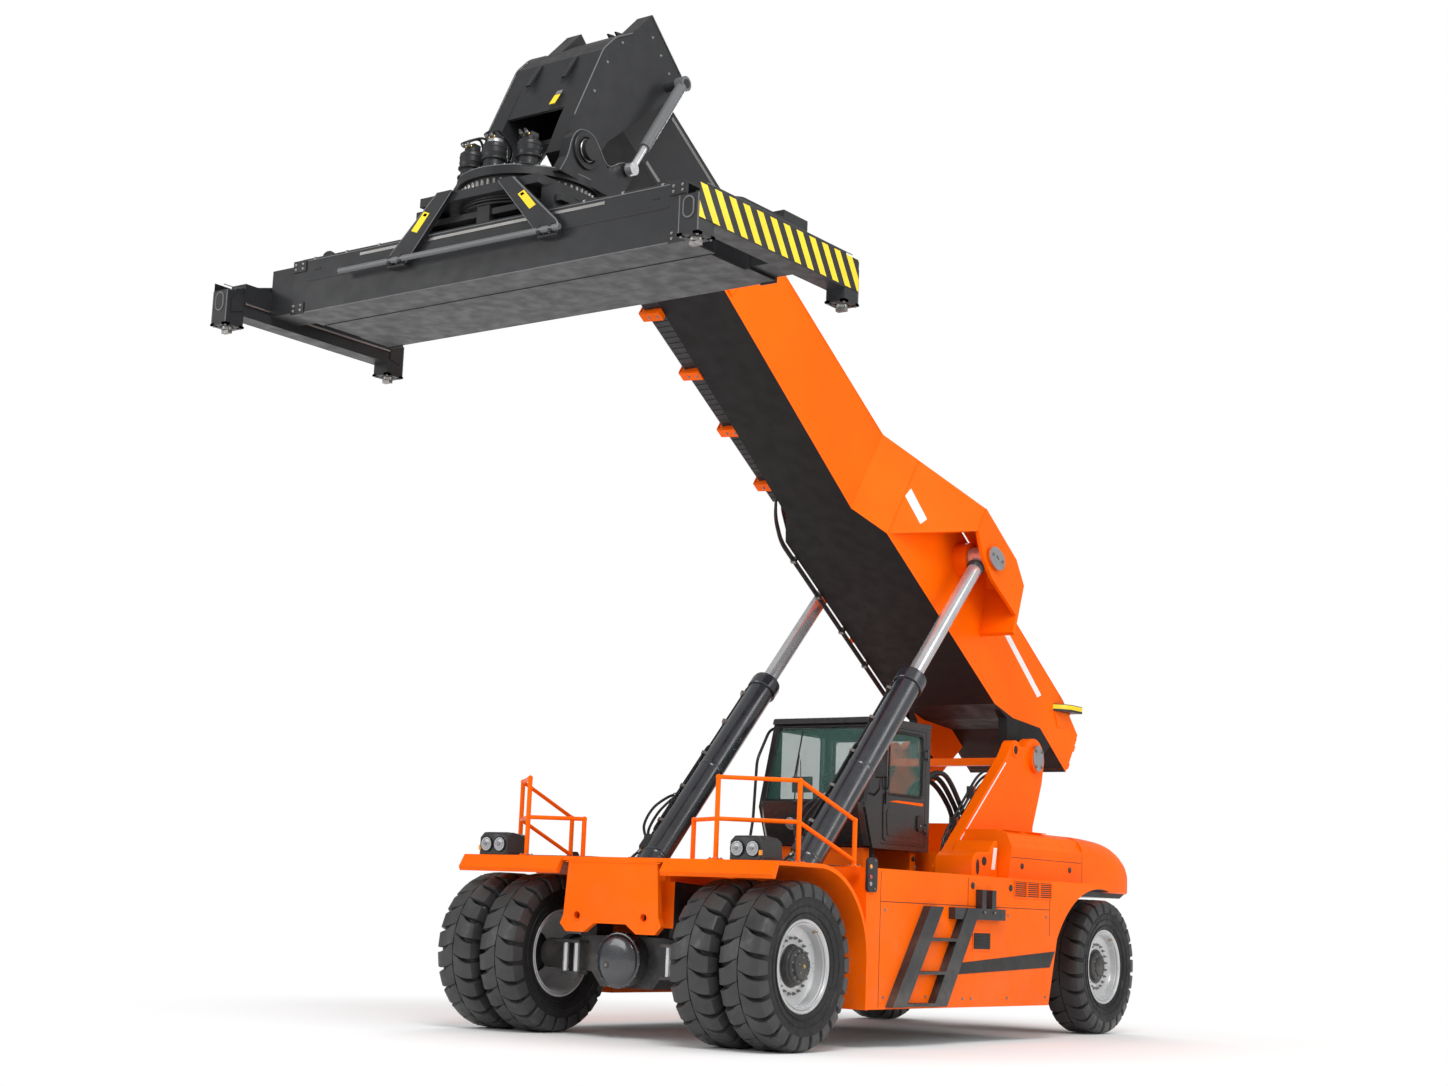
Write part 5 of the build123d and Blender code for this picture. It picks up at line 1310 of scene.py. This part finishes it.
routes = []
for (x, y, _), rise in zip(MOTORS, (20, 26, 32)):
    side_x = -200 if x < 100 else 200
    for dx in (-34, 34):
        routes.append([(px, py, DISC_DECK + pz) for px, py, pz in (
            (x + dx, y - 80, 316), (x + dx, y - 110, 336), (x * 0.7 + dx, y + 20, 395),
            (x * 0.55 + dx * 2 + side_x * 0.2, -340, 260), (side_x + dx, -220, 50 + rise))])
hoses("slew_motor_hoses", "tilt_yoke", YOKE, routes, 12.5)

# ---------------------------------------------------------------- spreader

ring = Piece(SPREADER, "steel")
for c, d in circle(60):
    ring.loops([[(c * r - d * a, d * r + c * a, RING_LOW + z) for a, z in ((-w, 12), (w, 12), (w, 80),
                                                                           (-w, 80))]
                for r, w in ((655, 20), (676, 11))])
ring.finish("slew_ring_teeth", "rotator", "bare_steel", sharp=30)

coil = []
for k in range(5):
    radius = 690 + 12 * (k % 2)
    turns = [math.radians(-160 + 20 * j + 3 * k) for j in range(15)]
    coil.append([(math.cos(t) * radius * 0.94, math.sin(t) * radius * 0.92,
                  RING_LOW - 28 - 30 * k) for t in turns])
hoses("hose_ring", "rotator", SPREADER, coil, 13.5)

# The label's dark mark stands proud of it on the rear side only.
trim = Piece(SPREADER)
for t, mark in ((1, 3.1), (-1, -2.5)):
    face, edge = t * (BEAM_SIDE + 75), t * (BEAM_SIDE + 69)
    for s in (1, -1):
        # Lighter grey tubes along the legs' edges: painted edge highlights.
        trim.use("light_grey_and_edge_highlight").tube([(s * 484, edge, 7925), (s * 1064, edge, 7400), (s * 1064, edge, 7290)],
                                    9, 10, 50)
        trim.tube([(s * 296, edge, 7925), (s * 856, edge, 7290)], 6, 8)
        for key, out, outline in (
            ("yellow", t * 2.5, ((560, 7745), (635, 7775), (790, 7605), (715, 7575))),
            ("black_mark_and_painted_shade", mark, ((585, 7742), (625, 7757), (648, 7732), (608, 7717))),
        ):
            trim.use(key).prism("y", face, face + out, [(s * x, z) for x, z in outline])
        trim.use("grey").box((s * 840, face - t * 70, 7272), (s * 1080, face + t * 12, 7292))
        trim.bolts([(s * x, face, 7315) for x in (900, 970, 1040)], (0, t, 0), 10, 8)
# Slide tube the side shift runs on, carried on the feet of the front legs; its lighter grey is a painted
# highlight.
front = -BEAM_SIDE - 75
trim.use("light_grey_and_edge_highlight").rod((-1720, front - 30, 7335), (1120, front - 30, 7335), 29, 24)
trim.use("grey")
for s, x in product((1, -1), (880, 1020)):
    trim.box((s * (x - 20), front - 58, 7300), (s * (x + 20), front, 7372))
trim.finish("shift_frame_trim", "rotator", "dark_grey_paint", 1.5, sharp=34)

beam = Piece(SPREADER)
for t, lip in ((1, 14), (-1, -4)):
    face = t * BEAM_SIDE
    # Lighter grey tubes along the face's top and bottom edges: painted edge highlights.
    beam.use("light_grey_and_edge_highlight").tube([(x, face, BEAM_TOP - 4) for x in (-BEAM_HALF, BEAM_HALF)], 6, 8)
    beam.tube([(x, face, BEAM_LOW + 4) for x in (-BEAM_HALF, BEAM_HALF)], 5, 8)
    # Pressed stiffening lip along the outer face, deeper at the rear, and the wear strip above it.
    beam.use("grey").prism("y", face - t * 2, face + lip, [(-2300, 7350), (-2220, 7372), (2220, 7372),
                                                           (2300, 7350), (2220, 7340), (-2220, 7340)])
    beam.use("steel").box((-1550, face - t * 2, BEAM_TOP - 60), (1550, face + t * 4, BEAM_TOP - 30))
    for s in (1, -1):
        beam.use("grey")
        for low, high in ((BEAM_LOW - 12, BEAM_LOW + 110), (BEAM_TOP - 110, BEAM_TOP + 8)):
            beam.box((s * 2300, face - t * 2, low), (s * BEAM_HALF, face + t * 14, high))
        beam.bolts([(s * x, face + t * 14, z)
                    for x, z in product((2340, 2440), (BEAM_LOW + 30, BEAM_LOW + 80, BEAM_TOP - 80,
                                                       BEAM_TOP - 30))], (0, t, 0), 11, 9)
        beam.use("black_mark_and_painted_shade").box((s * 2100, face - t * 3, 7445), (s * 2180, face + t * 5, 7458))
    beam.use("steel")
    for x in (-1900, -1400, 1400, 1900):
        beam.box((x - 35, t * 400, BEAM_TOP), (x + 35, t * 560, BEAM_TOP + 12))
beam.use("black")
for y in (-140, 0, 140):
    beam.tube([(-2350, y, BEAM_LOW + 285), (2350, y, BEAM_LOW + 285)], 16, 12)
beam.use("steel")
for x in (-1700, -550, 550, 1700):
    beam.box((x - 20, -255, BEAM_LOW + 262), (x + 20, 255, BEAM_LOW + 272))
beam.use("grey").box((-2440, -262, BEAM_LOW - 6), (2440, 262, BEAM_LOW + 8))
for s in (-1, 1):
    # Extension cylinder lying along the top, with its rod eye, clamps and ports.
    y, z = -s * 115, BEAM_TOP + 75
    beam.use("black").rod((s * 1100, y, z), (s * 2020, y, z), 50, 26)
    beam.lathe((s * 1980, y, z), (s, 0, 0), ((0, 50), (0, 60), (50, 60), (56, 50), (62, 36)), 26)
    beam.use("chrome").rod((s * 2030, y, z), (s * 2300, y, z), 30, 20)
    beam.use("grey").lathe((s * 2340, y - 30, z), BACK, ((0, 50), (60, 50)), 24)
    for near, far in ((-55, -34), (34, 55)):
        beam.box((s * 2300, y + near, BEAM_TOP - 10), (s * 2380, y + far, z + 45))
    for x in (1180, 1860):
        beam.box((s * x, y - 70, BEAM_TOP - 120), (s * (x + 50), y + 70, z + 12))
    beam.use("brass")
    for x in (1140, 1950):
        beam.lathe((s * x, y, z + 48), UP, ((-6, 18), (12, 18), (16, 12), (26, 12)), 6)
    # Lifting eyes near the end; the black core in each eye's hole is painted shade.
    for t in (-1, 1):
        y = t * (BEAM_SIDE - 120)
        beam.use("grey").prism("y", y - 12, y + 12, [(s * x, BEAM_TOP + up) for x, up in (
            (2020, -2), (2060, 85), (2100, 105), (2150, 105), (2190, 85), (2230, -2))])
        beam.use("black_mark_and_painted_shade").lathe((s * 2125, y - 14, BEAM_TOP + 60), BACK, ((0, 24), (28, 24)), 18)
# Pipes clipped along the top edge, outside the sliding frame.
beam.use("black")
for y in (16, 42):
    beam.tube([(x, y - BEAM_SIDE, BEAM_TOP + 12) for x in (-2380, 2380)], 10.5, 10)
beam.use("steel")
for x in (-2200, -1750, -1300, -800, 800, 1300, 1750, 2200):
    beam.box((x - 14, 2 - BEAM_SIDE, BEAM_TOP - 2), (x + 14, 58 - BEAM_SIDE, BEAM_TOP + 26))
beam.finish("main_beam_trim", "main_beam", "dark_grey_paint", 1.5, sharp=34)


def clipped(outline, low, high):
    """An outline cut off square at two places along its first axis."""
    kept = []
    for (ya, za), (yb, zb) in zip(outline, outline[1:] + outline[:1]):
        if low <= ya <= high:
            kept.append((ya, za))
        for edge in sorted((low, high), key=lambda e: abs(e - ya)):
            share = (edge - ya) / (yb - ya)
            if 0 < share < 1:
                kept.append((edge, za + (zb - za) * share))
    return kept


BAND_LOW, BAND_HIGH, BAND_HALF = 6985, 7285, GRIP_Y + 109
for label, s in SIDES:
    face = s * (GRIP_X + 105)
    band = Piece(SPREADER, "black_mark_and_painted_shade")
    band.box((face - s * 3, -BAND_HALF, BAND_LOW), (face + s * 1.2, BAND_HALF, BAND_HIGH))
    band.use("yellow")
    for y in [205 * k - BAND_HALF - 206 for k in range(14)]:
        stripe = clipped([(y, BAND_HIGH), (y + 100, BAND_HIGH), (y + 300, BAND_LOW), (y + 200, BAND_LOW)],
                         -BAND_HALF, BAND_HALF)
        if len(stripe) >= 3:
            band.prism("x", face + s * 0.8, face + s * 2.4, stripe)
    band.finish("hazard_band_" + label, "end_beam_" + label, "dark_grey_paint")

    ends = Piece(SPREADER)
    x, near, far = s * GRIP_X, s * (GRIP_X - 100), s * (GRIP_X + 100)
    for t in (1, -1):
        y, end_y = t * GRIP_Y, t * (GRIP_Y + 115)
        # Oval hand hole with its raised rim on the end of the corner box: the rim in lighter grey is a painted
        # edge highlight, and the hole is a black oval of painted shade.
        for grow, key, depth in ((1.0, "light_grey_and_edge_highlight", 10), (0.8, "black_mark_and_painted_shade", 11.5)):
            oval = [(x + c * 60 * grow, 7085 + d * 62 * grow + (math.copysign(36, d) if abs(d) > 1e-6 else 0))
                    for c, d in circle(32)]
            ends.use(key).prism("y", end_y - t * 2, end_y + t * depth, oval)
        # Lighter grey tubes on the corner box's edges: painted edge highlights.
        ends.use("light_grey_and_edge_highlight")
        for edge in (far, near):
            ends.tube([(edge, end_y, 6866), (edge, end_y, 7195)], 6, 8)
        # Guide shoe below the corner box, open in the middle for the lock.
        ends.use("grey")
        for side in (1, -1):
            ends.box((x + side * 55, y - 122, 6842), (x + side * 112, y + 122, 6864))
        for low, high in ((-122, -60), (60, 122)):
            ends.box((x - 112, y + low, 6842), (x + 112, y + high, 6864))
        ends.use("steel").lathe((x, y, 6842), UP, ((-30, 34), (-30, 50), (-24, 54), (2, 56), (2, 34)), 30,
                                ring=True)
        ends.bolts([(x + dx, y + dy, 6842) for dx, dy in product((-85, 85), (-95, 95))], DOWN, 11, 9)
        # Lock drive: cap, crank and its rod towards the middle of the beam.
        ends.use("cast").lathe((x, y, 7198), UP, ((0, 62), (14, 62), (18, 52), (30, 50), (34, 0)), 28)
        ends.use("zinc").bolt_ring((x, y, 7210), UP, 50, 4, 7)
        ends.use("grey").prism("x", near, near - s * 12, [(y + t * dy, z) for dy, z in (
            (-90, 7020), (-90, 7160), (-20, 7190), (60, 7120), (60, 6980))])
    # Lighter grey tubes along the end beam's edges: painted edge highlights.
    ends.use("light_grey_and_edge_highlight").tube([(far, -GRIP_Y, 7309), (far, GRIP_Y, 7309)], 5, 8)
    ends.tube([(s * (GRIP_X - 60), y, z) for y, z in ((-1120, 7242), (-420, 7427), (420, 7427),
                                                      (1120, 7242))],
              7, 8, 50)
    ends.use("steel").rod((s * (GRIP_X - 118), -1020, 7100), (s * (GRIP_X - 118), 1020, 7100), 12, 14)
    ends.finish("corner_fittings_" + label, "end_beam_" + label, "dark_grey_paint", 1.2, sharp=34)

    for end, t in (("front", -1), ("rear", 1)):
        lock = Piece(SPREADER, "steel")
        lock.lathe((x, t * GRIP_Y, 6995), UP, ((0, 46), (12, 46), (16, 40), (30, 40), (32, 0)), 6)
        lock.finish(f"lock_nut_{end}_{label}", f"twistlock_{end}_{label}", "bare_steel", 1)

# ---------------------------------------------------------------- stage, light and camera

# Pale floor that keeps the shadow under the machine and fades to the white backdrop away from it.
stage = Shader("studio_floor", Base_Color=(0.93, 0.93, 0.93, 1), Roughness=0.75)
away = stage.node("VectorMath", operation="DISTANCE")
away.inputs[1].default_value = (0.0, 0.4, 0.0)
stage.link(stage.place, away.inputs[0])
fade = stage.node("MapRange", interpolation_type="SMOOTHSTEP", From_Min=4.0, From_Max=8.2)
stage.link(away.outputs["Value"], fade.inputs["Value"])
# Only the camera, mirrors and glass see the white: it puts no light on the machine.
unlit = stage.node("Math", operation="SUBTRACT")
unlit.inputs[0].default_value = 1.0
stage.link(stage.node("LightPath").outputs["Is Diffuse Ray"], unlit.inputs[1])
gate = stage.node("Math", operation="MULTIPLY")
stage.link(fade.outputs["Result"], gate.inputs[0])
stage.link(unlit.outputs[0], gate.inputs[1])
mix = stage.node("MixShader")
white = stage.node("Emission", Color=(1, 1, 1, 1), Strength=1.0)
for source, socket in ((gate.outputs[0], 0), (stage.main.outputs["BSDF"], 1), (white.outputs["Emission"], 2)):
    stage.link(source, mix.inputs[socket])
stage.link(mix.outputs["Shader"], stage.tree.nodes["Material Output"].inputs["Surface"])

floor_mesh = bpy.data.meshes.new("studio_floor")
floor_mesh.from_pydata([(-80, -80, 0), (80, -80, 0), (80, 80, 0), (-80, 80, 0)], [], [(0, 1, 2, 3)])
floor_mesh.materials.append(stage.material)
floor = bpy.data.objects.new("studio_floor", floor_mesh)
bpy.context.scene.collection.objects.link(floor)

# The camera and glass see a white world; mirrors see a greyer one, and it lights the machine a little less.
world = bpy.data.worlds.new("studio")
bpy.context.scene.world = world
world.use_nodes = True
tree = world.node_tree
back = tree.nodes["Background"]
back.inputs["Color"].default_value = (1, 1, 1, 1)
path = add_node(tree, "LightPath")
seen = add_node(tree, "Math", operation="MAXIMUM")
mirror = add_node(tree, "MapRange", To_Min=0.62, To_Max=0.42)
level = add_node(tree, "Mix")
level.inputs[3].default_value = 1.0
for source, socket in (
    (path.outputs["Is Camera Ray"], seen.inputs[0]),
    (path.outputs["Is Transmission Ray"], seen.inputs[1]),
    (path.outputs["Is Glossy Ray"], mirror.inputs["Value"]),
    (seen.outputs[0], level.inputs[0]),
    (mirror.outputs["Result"], level.inputs[2]),
    (level.outputs[0], back.inputs["Strength"]),
):
    tree.links.new(source, socket)

for name, at, target, size, power in (
    ("key", (9.0, -12.0, 17.0), (0, 0, 3.0), (8, 8), 2300),
    ("front_fill", (-9.0, -17.0, 8.0), (0, -2, 4.0), (9, 7), 700),
    ("side_fill", (18.0, 3.0, 7.0), (0, 1, 2.5), (10, 7), 700),
    ("rear_rim", (-8.0, 15.0, 14.0), (0, 2, 3.0), (9, 6), 900),
    ("cylinder_line", (12.5, 5.6, 13.0), (0.6, 0.4, 3.4), (2.4, 9), 200),
):
    light = bpy.data.lights.new(name, "AREA")
    light.shape = "RECTANGLE"
    light.size, light.size_y = size
    light.energy = power
    lamp = bpy.data.objects.new(name, light)
    lamp.location = at
    lamp.rotation_euler = (Vector(target) - Vector(at)).to_track_quat("-Z", "Y").to_euler()
    bpy.context.scene.collection.objects.link(lamp)

data = bpy.data.cameras.new("photo_camera")
data.sensor_fit = "HORIZONTAL"
data.sensor_width = 36.0
data.lens = 52.905
data.clip_start, data.clip_end = 0.5, 300.0
yaw, pitch, roll = math.radians(36.296), math.radians(9.823), math.radians(2.248)
look = Vector((-math.sin(yaw) * math.cos(pitch), math.cos(yaw) * math.cos(pitch), math.sin(pitch)))
level_right = Vector((math.cos(yaw), math.sin(yaw), 0))
level_up = level_right.cross(look)
right = level_right * math.cos(roll) + level_up * math.sin(roll)
upward = level_up * math.cos(roll) - level_right * math.sin(roll)
camera = bpy.data.objects.new("photo_camera", data)
camera.matrix_world = frame_matrix((13.365, -19.426, 1.28), right, upward, -look)
bpy.context.scene.collection.objects.link(camera)
bpy.context.scene.camera = camera
bpy.context.scene.view_settings.view_transform = "Standard"

bpy.context.view_layer.update()
